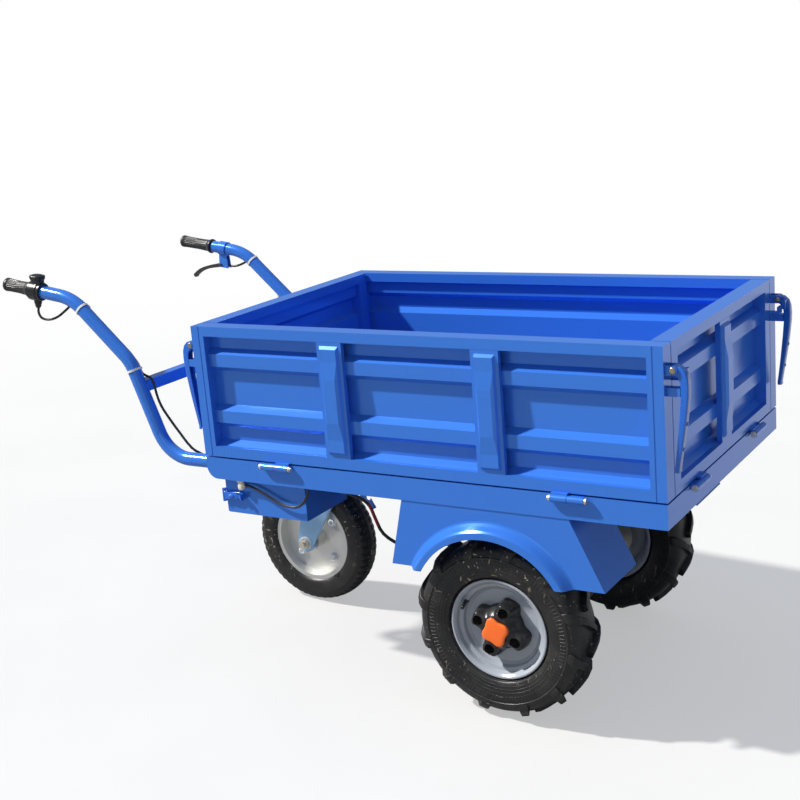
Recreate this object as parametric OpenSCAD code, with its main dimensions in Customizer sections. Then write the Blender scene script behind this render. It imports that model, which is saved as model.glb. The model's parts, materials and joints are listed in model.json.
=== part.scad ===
// Three-wheel electric walk-behind site cart with a drop-side bed.
// Everything is drawn in the bed frame and set on the ground by one placement:
// X runs towards the tailgate, Y to the operator's left, Z up from the rail tops.

/* [Bed] */
// Length of the bed over the end panels
bed_l = 1100; // [900:10:1300]
// Width of the bed over the side panels
bed_w = 710; // [620:10:820]
// Height of the folded chassis rails
rail_h = 50; // [44:1:64]
// Depth of the chassis rails
rail_d = 42; // [36:1:50]
// Sheet of the chassis rails
rail_t = 3; // [2:0.5:5]
// Round of the lower corner at the handle end
rail_corner_r = 28; // [10:1:34]
// Sheet of the load floor
floor_t = 3; // [2:0.5:6]
// Height of the cross members
member_h = 40; // [30:1:46]
// Width of the cross members
member_w = 40; // [30:1:60]
// Spacing between the cross members
member_pitch = 330; // [300:5:360]

/* [Drop panels] */
// Height of the panels
panel_h = 300; // [240:5:380]
// Thickness of the panels
panel_t = 40; // [34:1:50]
// Gap under the panels
panel_gap = 4; // [3:0.5:8]
// Gap between end panels and side panels
end_gap = 3; // [2:0.5:6]
// Sheet of the folded panel frames
frame_t = 2; // [1.5:0.1:3]
// Width of the upright borders
post_w = 33; // [26:1:44]
// Width of the top border
top_w = 22; // [18:1:34]
// Width of the bottom border
bottom_w = 24; // [18:1:34]
// Recess of the pressed sheet
sheet_in = 27; // [18:1:30]
// Height of the pressed ribs
rib_h = 16; // [8:1:17]
// Width of the pressed ribs
rib_w = 52; // [40:1:60]
// Slope of the rib flanks
rib_slope = 12; // [6:1:16]
// Heights of the two ribs as shares of the panel
rib_shares = [0.305, 0.737];
// Width of the upright stiffeners
stiff_w = 62; // [50:1:80]
// Place of the side stiffeners as a share of half the bed
stiff_share = 0.333; // [0.28:0.005:0.4]
// Height of the boss at the stiffener ends
boss_h = 6; // [4:0.5:8]
// Further height of the boss at mid stiffener
boss_mid_h = 5; // [3:0.5:6]
// Border around the boss
boss_edge = 8; // [6:0.5:12]
// Length of the ramps up to the middle boss
boss_ramp = 38; // [20:1:50]

/* [Hinges] */
// Radius of the hinge barrels
barrel_r = 7.5; // [6:0.25:8]
// Length of one hinge knuckle
knuckle_l = 35; // [26:1:44]
// Radius of the hinge pins
pin_r = 4.5; // [3.5:0.25:5]
// Height of the hinge axis against the rail tops
hinge_z = -6; // [-7:0.25:-5]
// Gap between a barrel and the rail face
barrel_gap = 1; // [0.6:0.1:2]
// Place of the side hinges as a share of half the bed
side_hinge_share = 0.636; // [0.55:0.01:0.7]
// Place of the end hinges as a share of half the width
end_hinge_share = 0.535; // [0.45:0.01:0.6]
// Running clearance of pins in their bores
run_fit = 0.08; // [0.02:0.01:0.1]

/* [Latches] */
// Length of the latch levers below the pivot
lever_l = 197; // [160:1:210]
// Width of the latch levers
lever_w = 18; // [14:1:22]
// Bulge of the levers off the end face
lever_bulge = 42; // [40:1:50]
// Height of the lever pivots above the rail tops
lever_z = 258; // [225:1:262]
// Distance of the lever pivots off the end face
lever_u = 14; // [13:0.5:18]
// Radius of the lever pivot pins
lever_pin_r = 4; // [3:0.25:5]

/* [Fenders] */
// Drop of the fenders below the rails
fender_drop = 147; // [110:1:160]
// Sheet of the fenders
fender_t = 3; // [2:0.5:5]
// Length of the fender top
fender_top_l = 380; // [340:5:420]
// Length of the fender bottom
fender_bottom_l = 487; // [460:5:520]
// Shift of the fender bottom towards the tailgate
fender_shift = 18; // [0:1:30]
// Depth of the fender end plates
fender_depth = 165; // [140:1:180]
// Radius of the wheel arch
arch_r = 177; // [165:1:184]
// Height of the arch centre above the drive axle
arch_up = 36; // [20:1:46]
// Flare of the arch lip
lip_w = 22; // [12:1:24]
// Width of the flared band round the arch
lip_band = 33; // [26:1:40]

/* [Drive wheels] */
// Radius of the drive tyres
drive_r = 202; // [194:1:206]
// Width of the drive tyres
drive_w = 110; // [100:1:112]
// Gap between the drive tyres and the fender plates
wheel_gap = 5; // [4:0.5:12]
// Distance of the drive axle ahead of mid bed
drive_x = 163; // [140:1:190]
// Depth of the drive axle below the rail tops
drive_z = 322; // [316:1:334]
// Radius of the drive rim flange
rim_r = 111; // [106:1:114]
// Rubber of the tyres
tyre_t = 9; // [7:0.5:14]
// Sheet of the rims
rim_t = 3; // [2:0.5:5]
// Radius of the hub caps
cap_r = 66; // [60:1:70]
// Radius of the drive shafts
shaft_r = 14; // [11:0.5:18]

/* [Drive axle] */
// Radius of the axle tube
axle_tube_r = 28; // [24:1:34]
// Radius of the gear housing
gear_r = 80; // [60:1:90]
// Width of the gear housing
gear_w = 92; // [70:1:110]
// Radius of the drive motor
motor_r = 58; // [45:1:64]
// Length of the drive motor
motor_l = 175; // [140:1:190]
// Thickness of the axle brackets
bracket_t = 8; // [6:0.5:12]
// Distance of the axle brackets from the middle
bracket_y = 165; // [150:1:178]

/* [Caster] */
// Radius of the caster tyre
caster_r = 163; // [156:1:166]
// Width of the caster tyre
caster_w = 75; // [64:1:78]
// Distance of the caster axle behind mid bed
caster_x = 517; // [490:1:540]
// Depth of the caster axle below the rail tops
caster_z = 314; // [310:1:320]
// Radius of the caster rim
caster_rim_r = 107; // [100:1:110]
// Trail of the caster
caster_trail = 80; // [70:1:95]
// Distance of the fork arms from the middle
fork_y = 48; // [46:1:56]
// Thickness of the fork arms
fork_t = 8; // [6:0.5:10]
// Width of the fork arms
fork_w = 46; // [38:1:56]
// Radius of the kingpin
kingpin_r = 15; // [11:0.5:18]
// Radius of the swivel bearing
swivel_r = 52; // [44:1:58]

/* [Handles] */
// Radius of the handle tubes
tube_r = 16; // [14:0.5:18]
// Wall of the handle tubes
tube_t = 2.5; // [1.5:0.1:4]
// Inset of the handle tubes from the bed sides
handle_in = 20; // [18:1:24]
// Drop of the handle tubes at the chassis
handle_drop = 17; // [16:1:28]
// Reach of the lower bend behind the bed
knee_back = 127; // [110:1:150]
// Reach of the middle bend behind the bed
elbow_back = 210; // [195:1:230]
// Height of the middle bend
elbow_rise = 208; // [190:1:230]
// Reach of the upper bend behind the bed
neck_back = 368; // [340:1:400]
// Height of the upper bend
neck_rise = 354; // [330:1:380]
// Reach of the handle ends behind the bed
grip_back = 575; // [550:1:620]
// Height of the handle ends
grip_rise = 384; // [360:1:410]
// Bend radius of the tubes
bend_r = 90; // [70:1:110]
// Bend radius below the grips
neck_r = 130; // [90:1:132]
// Radius of the bar inside the grips
bar_r = 11; // [9:0.5:12]
// Radius of the grips
grip_r = 16.5; // [15:0.5:18]
// Length of the throttle grip
throttle_l = 78; // [70:1:90]
// Length of the brake side grip
brake_grip_l = 100; // [85:1:105]
// Side of the square crossbar
crossbar_w = 27; // [22:1:32]
// Height of the crossbar above the rail tops
crossbar_z = 150; // [135:1:160]

/* [Battery box] */
// Length of the battery box
box_l = 218; // [200:1:240]
// Depth of the battery box
box_d = 160; // [140:1:175]
// Height of the battery box
box_h = 85; // [70:1:88]
// Sheet of the battery box
box_t = 2; // [1.5:0.1:3]
// Inset of the box from the rail face
box_in = 20; // [12:1:26]
// Distance of the box door from the bed end
box_back = 35; // [25:1:45]

/* [Leads] */
// Thickness of the control cables
cable_d = 6; // [4:0.5:8]
// Thickness of the power cable
power_d = 8; // [6:0.5:11]

/* [Hidden] */
$fn = 48;

// Shared small values
over = 1;
slip = 0.3;
seat_gap = 0.5;
plate = 3;
half_l = bed_l / 2;
half_w = bed_w / 2;
handle_y = half_w - handle_in;
drive_y = half_w - fender_t - wheel_gap - drive_w / 2;

// Colours of the preview
blue = [0.16, 0.42, 0.84];
pale_blue = [0.45, 0.66, 0.88];
black = [0.07, 0.07, 0.08];
zinc = [0.78, 0.76, 0.70];
silver = [0.72, 0.73, 0.75];
orange = [0.93, 0.45, 0.10];
cream = [0.90, 0.86, 0.74];
green = [0.20, 0.36, 0.30];

// Wheels stand on level ground, which sets the pitch of the bed
wheel_dx = drive_x + caster_x;
wheel_dz = caster_z - drive_z;
bed_pitch = asin((drive_r - caster_r) / norm([wheel_dx, wheel_dz])) - atan2(wheel_dz, wheel_dx);
tip_back = half_l + grip_back;
tip_front = half_l + lever_bulge;
row_x = ((tip_back - tip_front) * cos(bed_pitch) + (grip_rise + lever_z) * sin(bed_pitch)) / 2;
row_z = drive_r - drive_x * sin(bed_pitch) + drive_z * cos(bed_pitch);
caster_row_x = caster_z * sin(bed_pitch) - caster_x * cos(bed_pitch) + row_x;

// Hinges
hinge_out = barrel_r + barrel_gap;
hinge_gap = 1;
pin_head_r = 6.5;
pin_head_h = 5;
pin_nut_h = 7;
pin_ring_h = 4;
leaf_in = 26;
leaf_clear = 0.7;
weld_w = 9;
side_hinge_x = side_hinge_share * half_l;
end_hinge_x = end_hinge_share * half_w;
end_l = bed_w - 2 * (panel_t + end_gap);
drain_l = 60;
boss_mid_share = 0.72;

// Latches
lever_v = panel_t / 2;
ear_t = 3;
lever_boss_r = 9;
lever_tip_w = 11;
lever_tip_t = 9;
lever_neck_u = 27;
lever_low = 50;
lever_mid = 26;
lever_sheet = 3;
finger_u = 27;
finger_t = 8;
finger_h = 20;
strike_out = 26;
strike_t = 5;
lip_over = 8;
fender_in = 2;
seam_in = 21;
seam_w = 2.5;
seam_d = frame_t / 2;
strike_l = 14;
tab_v = 35;
strike_side = 2;
strike_v = panel_t + end_gap + strike_side;
rest_h = 16;

// Fenders and wheels
arch_low = rail_h + fender_drop;
lip_shares = [[1, 0], [0.88, 0.08], [0.74, 0.34], [0.55, 0.8], [0.44, 0.96], [0.34, 1], [0, 1]];
rim_w = 84;
rim_seat_r = rim_r - 9;
disc_y = 12;
hub_r = 60;
hub_l = 40;
stud_r = 5;
stud_ring_r = 46;
stud_count = 4;
nut_h = 8;
cap_h = 38;
cap_lobe_r = 22;
cap_core_r = 47;
cap_hole_r = 12;
cap_wall = 3;
badge_h = 7;
badge_r = 32;
badge_lobe_r = 10;
wheel_turn = 24;
tyre_shares = [[0, 0.66], [0.13, 0.68], [0.2, 0.87], [0.34, 0.97], [0.5, 1], [0.66, 0.98],
  [0.8, 0.92], [0.9, 0.81], [0.96, 0.64], [1, 0.34]];
shaft_in = 74;
tube_end_y = drive_y + disc_y - hub_l - 2 * seat_gap;
motor_x = drive_x - gear_r * cos(asin(gear_w / 2 / gear_r)) + motor_r / 2;
motor_end = motor_x - motor_l - plate;

// Caster, measured in its own level frame about the wheel centre
fork_top = caster_r + 14;
crown_t = 14;
swivel_h = 18;
caster_rim_w = 58;
caster_seat_r = caster_rim_r - 8;
caster_hub_r = 26;
caster_hub_l = 74;
caster_axle_r = 8;
caster_nut_r = 15;
caster_nut_h = 19;
thread_out = 9;
kingpin_share = 0.62;
caster_bolts = 4;
caster_bolt_ring = 66;
caster_bolt_r = 6;
mount_w = 130;
mount_t = 6;

// Handles
handle_pts = [[-half_l, -handle_drop], [-half_l - knee_back, -handle_drop],
  [-half_l - elbow_back, elbow_rise], [-half_l - neck_back, neck_rise],
  [-half_l - grip_back, grip_rise]];
grip_dir = (handle_pts[4] - handle_pts[3]) / norm(handle_pts[4] - handle_pts[3]);
grip_tilt = atan2(grip_dir.y, -grip_dir.x);
grip_end = handle_pts[4];
grip_cap = 5;
bend_thin = 0.1;
collar_l = 8;
collar_r = 20;
housing_l = 38;
housing_r = 24;
head_w = 34;
head_h = 30;
head_l = 34;
rocker_w = 12;
rocker_l = 18;
rocker_r = 9;
rocker_pin_r = 2.5;
rocker_top_share = 0.62;
grip_groove = 1;
tail_l = 34;
tail_r = 10;
tube_stop = throttle_l + housing_l;
crossbar_x = -half_l - knee_back - (elbow_back - knee_back) * (crossbar_z + handle_drop)
  / (elbow_rise + handle_drop);
clamp_x = 140;
pivot_pos = [136, -47];
lever_pivot_r = 4;
lever_blade_t = 9;
lever_blade_w = 12;
lever_reach = 104;
lever_tilt = 20;
lever_rise = 9;
lever_dip = 18;

// Battery box
box_x = -half_l + box_back;
box_y = -half_w + box_in;
box_top = -rail_h;
door_t = 3;
door_clear = 1.5;
door_pin_r = 3;
door_barrel_r = 5.5;
hasp_t = 3;
hasp_h = 20;
hasp_l = 58;
hasp_pin_r = 2.5;
hasp_barrel_r = 4.5;
staple_x = 42;
staple_w = 5;
staple_h = 10;
staple_out = 12;
ctrl_l = 40;
ctrl_h = 46;
ctrl_gap = 3;
pack_gap = 1;
pack_side = 24;
pack_head = 15;
door_room = 22;
pack_l = box_l - box_t - ctrl_l - pack_gap - ctrl_gap - door_room;
pack_d = box_d - 2 * pack_side;
pack_h = box_h - 2 * box_t - pack_head;
groove_w = 2;
groove_h = 2;
ctrl_fins = 7;
fin_h = 9;

// Routes of the leads, bed frame
throttle_route = [[-1034.6, -335, 329.2], [-1036.5, -335, 316], [-1030, -333, 303],
  [-1010, -329, 299], [-985, -324, 306], [-958, -318, 324], [-932, -315.5, 341], [-905, -315, 340],
  [-889.6, -315, 327.7], [-864.8, -315, 304.8], [-840, -315, 282], [-800, -315, 245],
  [-772, -315, 217.5], [-756.5, -315, 198.5], [-751.7, -315, 185.5], [-746, -315, 175.5],
  [-734, -315.5, 170.5], [-721, -316.5, 166], [-712, -318, 152], [-709, -318, 132],
  [-702, -318, 108], [-688, -318, 84], [-655, -318, 42], [-622, -317, 4], [-600, -306, -14],
  [-578, -300, -32], [-551, -300, -34]];
brake_route = [[-975.2, 335, 315.8], [-960, 335, 314], [-944, 337, 316], [-928, 342.5, 322],
  [-913, 350, 329.5], [-901, 354.8, 332.5], [-889.6, 355, 327.7], [-864.8, 355, 304.8], [-840, 355, 282],
  [-829.7, 349.1, 253.3], [-813.8, 335, 230.6], [-791.7, 320.9, 217.3], [-768, 315, 210],
  [-756.5, 315, 198.5], [-751.7, 315, 185.5],
  [-746, 315, 175.5], [-734, 315.5, 170.5], [-721, 316.5, 166], [-712, 318, 152], [-709, 318, 132],
  [-702, 318, 108], [-688, 318, 84], [-655, 318, 42], [-622, 317, 4], [-600, 306, -14],
  [-578, 300, -32], [-551, 300, -34]];
box_route = [[-454.8, -345, -62], [-440, -345, -63.5], [-418, -345, -71], [-394, -345.5, -81],
  [-369, -346, -92.5], [-344, -346, -99.5], [-318, -346, -100], [-299, -346, -90.5],
  [-288, -345.5, -77], [-281.5, -345, -64], [-279, -345, -51]];
motor_route = [[-296, -240, -90], [-282, -240, -90], [-263, -222, -101], [-249, -190, -122],
  [-243, -165, -148], [-233, -161, -178], [-218, -155, -216], [-190, -130, -248],
  [-150, -100, -262], [-118, -54, -266], [-92, -14, -276], [-72, 0, -280], [-53, 0, -280]];
// Legs of a lead from its grip to the first tie
throttle_legs = 8;
brake_legs = 6;
lead_off = 20;
lead_in = 35;
lead_low = 34;
stop_pos = [158, -46];
box_lead_out = 18;
power_in = 95;
power_low = 40;
power_up = 38;
ring_sides = 8;
tie_w = 5;
tie_t = 1.6;
tie_ease = 1;
tie_low_share = 0.9;
tie_high_share = 0.82;
hanger_gap = 25;
hanger_y = -box_y - box_d - hanger_gap;
hanger_w = 30;
hanger_run = 96;
hanger_drop = 122;
hanger_hole_r = 6;
hanger_hole_share = 0.62;
plug_w = 14;
plug_share = 0.229;
plug_d = 14;
plug_h = 24;
plug_in = 3;
plug_x = box_x + box_l * plug_share;
ring_steps = 3;

// Placement of the bed on the ground
module bed() {
  translate([row_x, 0, row_z])
    rotate([0, -bed_pitch, 0])
      children();
}

// Level frame of the caster about its wheel centre
module at_caster() {
  translate([caster_row_x, 0, caster_r])
    children();
}

// One side of the bed: turn 0 near, 90 tailgate, 180 far, -90 handle end
module at_side(turn, dist) {
  rotate([0, 0, turn])
    translate([0, -dist, 0])
      children();
}

// Corner of a side panel: u off the end face, v inward from the outer face
module at_corner(end, side) {
  mirror([end < 0 ? 1 : 0, 0, 0])
    mirror([0, side > 0 ? 1 : 0, 0])
      translate([half_l, -half_w, 0])
        children();
}

// Outline in the upright plane drawn out from y0 to y1
module slab(y0, y1) {
  translate([0, y1, 0])
    rotate([90, 0, 0])
      linear_extrude(y1 - y0)
        children();
}

// Round bar along Y from y0 to y1
module bar_y(r, y0, y1) {
  translate([0, y1, 0])
    rotate([90, 0, 0])
      cylinder(r = r, h = y1 - y0);
}

// Round bar along X from x0 to x1
module bar_x(r, x0, x1) {
  translate([x0, 0, 0])
    rotate([0, 90, 0])
      cylinder(r = r, h = x1 - x0);
}

// Ring turned about Y from a profile in radius and distance along Y
module turned() {
  rotate([-90, 0, 0])
    rotate_extrude($fn = 96)
      children();
}

// Block with sloped flanks that rises outwards along -Y
module rise(w0, h0, w1, h1, d) {
  polyhedron(
    points = [[-w0 / 2, 0, -h0 / 2], [w0 / 2, 0, -h0 / 2], [w0 / 2, 0, h0 / 2], [-w0 / 2, 0, h0 / 2],
      [-w1 / 2, -d, -h1 / 2], [w1 / 2, -d, -h1 / 2], [w1 / 2, -d, h1 / 2], [-w1 / 2, -d, h1 / 2]],
    faces = [[0, 1, 2, 3], [7, 6, 5, 4], [4, 5, 1, 0], [5, 6, 2, 1], [6, 7, 3, 2], [7, 4, 0, 3]]);
}

// Folded hollow frame with its corrugated sheet, outer face at y 0
module panel(l) {
  win_h = panel_h - top_w - bottom_w;
  difference() {
    translate([-l / 2, 0, 0])
      cube([l, panel_t, panel_h]);
    translate([post_w - l / 2, -over, bottom_w])
      cube([l - 2 * post_w, panel_t + 2 * over, win_h]);
    difference() {
      translate([frame_t - l / 2, frame_t, frame_t])
        cube([l - 2 * frame_t, panel_t - 2 * frame_t, panel_h - 2 * frame_t]);
      translate([post_w - frame_t - l / 2, 0, bottom_w - frame_t])
        cube([l - 2 * post_w + 2 * frame_t, panel_t, win_h + 2 * frame_t]);
    }
    for (side = [-1, 1])
      translate([side * l / 4 - drain_l / 2, panel_t / 2, -over])
        cube([drain_l, panel_t / 4, frame_t + 2 * over]);
  }
  pressed_sheet(l - 2 * post_w + frame_t, win_h + frame_t);
}

// Corrugated sheet between the borders, with a sloped foot
module pressed_sheet(w, h) {
  z0 = bottom_w - frame_t / 2;
  face = concat([[sheet_in - rib_h, z0], [sheet_in, z0 + rib_slope]],
    [for (s = rib_shares, q = rib_points(s * panel_h)) q], [[sheet_in, z0 + h]]);
  back = [for (i = [len(face) - 1 : -1 : 0]) [face[i].x + frame_t, face[i].y]];
  translate([-w / 2, 0, 0])
    rotate([90, 0, 90])
      linear_extrude(w)
        polygon(concat(face, back));
}

// Four folds of one pressed rib in depth and height
function rib_points(z) = [[sheet_in, z - rib_w / 2], [sheet_in - rib_h, z - rib_w / 2 + rib_slope],
  [sheet_in - rib_h, z + rib_w / 2 - rib_slope], [sheet_in, z + rib_w / 2]];

// Pressed upright stiffener with a waisted boss
module stiffener() {
  h = panel_h - top_w - bottom_w - slip;
  zm = bottom_w + h / 2;
  w1 = stiff_w - 2 * boss_edge;
  h1 = h - 2 * boss_edge;
  w2 = w1 - 2 * boss_edge;
  h2 = h1 * boss_mid_share;
  translate([0, 0, zm])
    difference() {
      union() {
        translate([-stiff_w / 2, 0, -h / 2])
          cube([stiff_w, sheet_in - rib_h, h]);
        rise(w1, h1, w1 - boss_h, h1 - 2 * boss_h, boss_h);
        translate([0, -boss_h, 0])
          rise(w1 - boss_h, h2, w2, h2 - 2 * boss_ramp, boss_mid_h);
      }
      translate([0, sheet_in - rib_h + over, 0])
        rise(w1, h1, w1 - 2 * boss_h, h1 - 2 * boss_h, sheet_in - rib_h + over);
    }
}

// Hinge piece bored for its pin from x0 to x1
module knuckle(x0, x1) {
  difference() {
    children();
    translate([0, -hinge_out, hinge_z])
      bar_x(pin_r + run_fit, x0 - over, x1 + over);
  }
}

// Barrel and leaf that carry a panel
module panel_knuckle(side) {
  x0 = side > 0 ? -knuckle_l - hinge_gap / 2 : hinge_gap / 2;
  knuckle(x0, x0 + knuckle_l)
    union() {
      translate([0, -hinge_out, hinge_z])
        bar_x(barrel_r, x0, x0 + knuckle_l);
      translate([x0, -hinge_out, leaf_clear])
        cube([knuckle_l, leaf_in, panel_gap - leaf_clear + frame_t / 2]);
    }
}

// Barrel and weld pad fixed to a rail
module rail_knuckle(side) {
  x0 = side > 0 ? hinge_gap / 2 : -knuckle_l - hinge_gap / 2;
  knuckle(x0, x0 + knuckle_l)
    union() {
      translate([0, -hinge_out, hinge_z])
        bar_x(barrel_r, x0, x0 + knuckle_l);
      translate([x0, -hinge_out, hinge_z - weld_w / 2])
        cube([knuckle_l, hinge_out + rail_t / 2, weld_w]);
    }
}

// Pin with head and nut, head at the outer end
module hinge_pin(side) {
  reach = knuckle_l + hinge_gap / 2 + slip;
  mirror([side > 0 ? 0 : 1, 0, 0])
    translate([0, -hinge_out, hinge_z]) {
      bar_x(pin_r, -reach - pin_nut_h, reach + over);
      bar_x(pin_head_r, reach, reach + pin_head_h);
      bar_x(pin_head_r, -reach - pin_ring_h, -reach);
    }
}

// Channel open on the inner side, drawn along X with its outer face at y 0
module channel(l, h, d, t, corner) {
  difference() {
    slab(0, d)
      channel_outline(l, h, corner, 0);
    slab(t, d + over)
      channel_outline(l, h, corner, t);
  }
}

// Side view of a rail with one rounded lower corner
module channel_outline(l, h, corner, inset) {
  r = max(corner - inset, rail_t);
  difference() {
    translate([inset - l / 2, inset - h])
      square([l - 2 * inset, h - 2 * inset]);
    if (corner > 0)
      translate([inset - l / 2, inset - h])
        difference() {
          translate([-over, -over])
            square([r + over, r + over]);
          translate([r, r])
            circle(r);
        }
  }
}

module side_rails() {
  color(blue)
    bed()
      for (turn = [0, 180])
        at_side(turn, half_w) {
          mirror([turn > 0 ? 1 : 0, 0, 0])
            channel(bed_l, rail_h, rail_d, rail_t, rail_corner_r);
          for (side = [-1, 1])
            translate([side * side_hinge_x, 0, 0])
              rail_knuckle(side);
        }
}

module end_rails() {
  color(blue)
    bed()
      for (turn = [90, -90])
        at_side(turn, half_l) {
          channel(bed_w - 2 * rail_d, rail_h, rail_d, rail_t, 0);
          for (side = [-1, 1])
            translate([side * end_hinge_x, 0, 0])
              rail_knuckle(side);
        }
}

module cross_members() {
  color(blue)
    bed()
      for (k = [-1, 0, 1])
        translate([k * member_pitch - member_w / 2, rail_t - half_w, -floor_t - member_h])
          difference() {
            cube([member_w, bed_w - 2 * rail_t, member_h]);
            translate([rail_t, -over, -over])
              cube([member_w - 2 * rail_t, bed_w + 2 * over, member_h + over - rail_t]);
          }
}

module bed_floor() {
  color(blue)
    bed()
      translate([rail_d + seat_gap - half_l, rail_d + seat_gap - half_w, -floor_t])
        cube([bed_l - 2 * rail_d - 2 * seat_gap, bed_w - 2 * rail_d - 2 * seat_gap, floor_t]);
}

module hinge_pins() {
  color(zinc)
    bed() {
      for (turn = [0, 180], side = [-1, 1])
        at_side(turn, half_w)
          translate([side * side_hinge_x, 0, 0])
            hinge_pin(side);
      for (turn = [90, -90], side = [-1, 1])
        at_side(turn, half_l)
          translate([side * end_hinge_x, 0, 0])
            hinge_pin(side);
    }
}

// Side panel with its knuckles and the latch seats on both end faces
module side_panel(turn) {
  color(blue)
    bed() {
      at_side(turn, half_w) {
        difference() {
          translate([0, 0, panel_gap])
            panel(bed_l);
          for (side = [-1, 1])
            translate([side * (half_l - seam_in) - seam_w / 2, -over, panel_gap - over])
              cube([seam_w, seam_d + over, panel_h + 2 * over]);
        }
        for (side = [-1, 1])
          translate([side * side_hinge_x, 0, 0])
            panel_knuckle(side);
      }
      for (end = [-1, 1])
        at_corner(end, turn > 0 ? 1 : -1)
          latch_seat();
    }
}

module near_side_panel() {
  side_panel(0);
}

module far_side_panel() {
  side_panel(180);
}

module side_stiffeners(turn) {
  color(blue)
    bed()
      at_side(turn, half_w)
        for (side = [-1, 1])
          translate([side * stiff_share * half_l, 0, panel_gap])
            stiffener();
}

module near_side_stiffeners() {
  side_stiffeners(0);
}

module far_side_stiffeners() {
  side_stiffeners(180);
}

// End panel with its knuckles
module end_panel(turn) {
  color(blue)
    bed()
      at_side(turn, half_l) {
        translate([0, 0, panel_gap])
          panel(end_l);
        for (side = [-1, 1])
          translate([side * end_hinge_x, 0, 0])
            panel_knuckle(side);
      }
}

module tailgate() {
  end_panel(90);
}

module front_panel() {
  end_panel(-90);
}

// Stiffener of an end panel and the two strikes of its latches
module end_fittings(turn) {
  color(blue)
    bed() {
      at_side(turn, half_l)
        translate([0, 0, panel_gap])
          stiffener();
      for (side = [-1, 1])
        at_corner(turn > 0 ? 1 : -1, side)
          strike();
    }
}

module tailgate_fittings() {
  end_fittings(90);
}

module front_panel_fittings() {
  end_fittings(-90);
}

// Two bored ears and a rest for a lever, on a side panel's end face
module latch_seat() {
  w = lever_w + 2 * seat_gap;
  difference() {
    for (v = [lever_v - w / 2 - ear_t, lever_v + w / 2])
      slab(v, v + ear_t) {
        translate([lever_u, lever_z])
          circle(lever_boss_r);
        translate([-frame_t / 2, lever_z - lever_boss_r])
          square([lever_u + frame_t / 2, 2 * lever_boss_r]);
      }
    translate([lever_u, 0, lever_z])
      bar_y(lever_pin_r + run_fit, -over, panel_t + over);
  }
  translate([-frame_t / 2, lever_v - lever_w / 2, lever_z - lever_low])
    cube([lever_neck_u - seat_gap + frame_t / 2, lever_w, rest_h]);
}

// Shelf on an end panel, with an upturned tab that reaches past the panel's edge
module strike() {
  z1 = lever_z - finger_h + lip_over;
  z0 = lever_z - finger_h - strike_t - seat_gap * strike_t;
  translate([0, strike_v, z0])
    cube([strike_out, strike_l, strike_t]);
  translate([strike_out - strike_t, tab_v, z0])
    cube([strike_t, strike_v + strike_l - tab_v, z1 - z0]);
}

// Lever with pivot pin and the finger that bars the strike
module latch_lever(end, side) {
  z2 = lever_z - lever_low;
  z3 = lever_z - lever_l;
  finger_v = panel_t + strike_side;
  pin_half = lever_w / 2 + ear_t + plate;
  color(blue)
    bed()
      at_corner(end, side) {
        difference() {
          slab(lever_v - lever_w / 2, lever_v + lever_w / 2) {
            translate([lever_u, lever_z])
              circle(lever_boss_r);
            polygon([[lever_u, lever_z + lever_boss_r], [lever_neck_u + finger_t, lever_z],
              [lever_bulge, lever_z - lever_mid], [lever_bulge, z2],
              [lever_tip_w + lever_tip_t, z3], [lever_tip_w, z3], [lever_neck_u, z2],
              [lever_neck_u, lever_z - lever_mid], [lever_u, lever_z - lever_boss_r]]);
          }
          translate([0, lever_v - lever_w / 2 + lever_sheet, 0])
            slab(0, lever_w - 2 * lever_sheet)
              polygon([[lever_bulge - lever_sheet, z2],
                [lever_tip_w + lever_tip_t - lever_sheet, z3 + lever_boss_r],
                [lever_tip_w - over, z3 + lever_boss_r], [lever_neck_u - over, z2]]);
        }
        translate([lever_u, 0, lever_z])
          bar_y(lever_pin_r, lever_v - pin_half, lever_v + pin_half);
        translate([finger_u, lever_v, lever_z - finger_h])
          cube([finger_t, finger_v - lever_v, finger_h]);
      }
}

module near_tail_latch() {
  latch_lever(1, -1);
}

module far_tail_latch() {
  latch_lever(1, 1);
}

module near_front_latch() {
  latch_lever(-1, -1);
}

module far_front_latch() {
  latch_lever(-1, 1);
}

// Fender plate with arch, flared lip and sloped end plates
module fender(turn) {
  x0 = drive_x - fender_shift / 2 - fender_top_l / 2;
  x1 = x0 + fender_top_l;
  m = drive_x + fender_shift / 2;
  b0 = m - fender_bottom_l / 2;
  b1 = m + fender_bottom_l / 2;
  color(blue)
    bed()
      mirror([0, turn > 0 ? 1 : 0, 0])
        translate([0, fender_in - half_w, 0]) {
          difference() {
            slab(0, fender_t)
              polygon([[x0, -rail_h], [x1, -rail_h], [b1, -arch_low], [b0, -arch_low]]);
            translate([drive_x, 0, arch_up - drive_z])
              bar_y(arch_r + lip_band - over, -over, fender_t + over);
          }
          intersection() {
            translate([drive_x, 0, arch_up - drive_z])
              turned()
                lip_profile();
            translate([b0, -lip_w - over, -arch_low])
              cube([fender_bottom_l, half_w, arch_low - rail_h]);
          }
          slab(0, fender_depth)
            polygon([[x0, -rail_h], [x0 + fender_t, -rail_h], [b0 + fender_t, -arch_low],
              [b0, -arch_low]]);
          slab(0, fender_depth)
            polygon([[x1, -rail_h], [x1 - fender_t, -rail_h], [b1 - fender_t, -arch_low],
              [b1, -arch_low]]);
        }
}

// Section of the flared arch band in radius and distance along Y
module lip_profile() {
  face = [for (q = lip_shares) [arch_r + q[0] * lip_band, -q[1] * lip_w]];
  back = [for (i = [len(face) - 1 : -1 : 0]) [face[i].x, face[i].y + fender_t]];
  polygon(concat(face, back));
}

module near_fender() {
  fender(0);
}

module far_fender() {
  fender(180);
}

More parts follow.
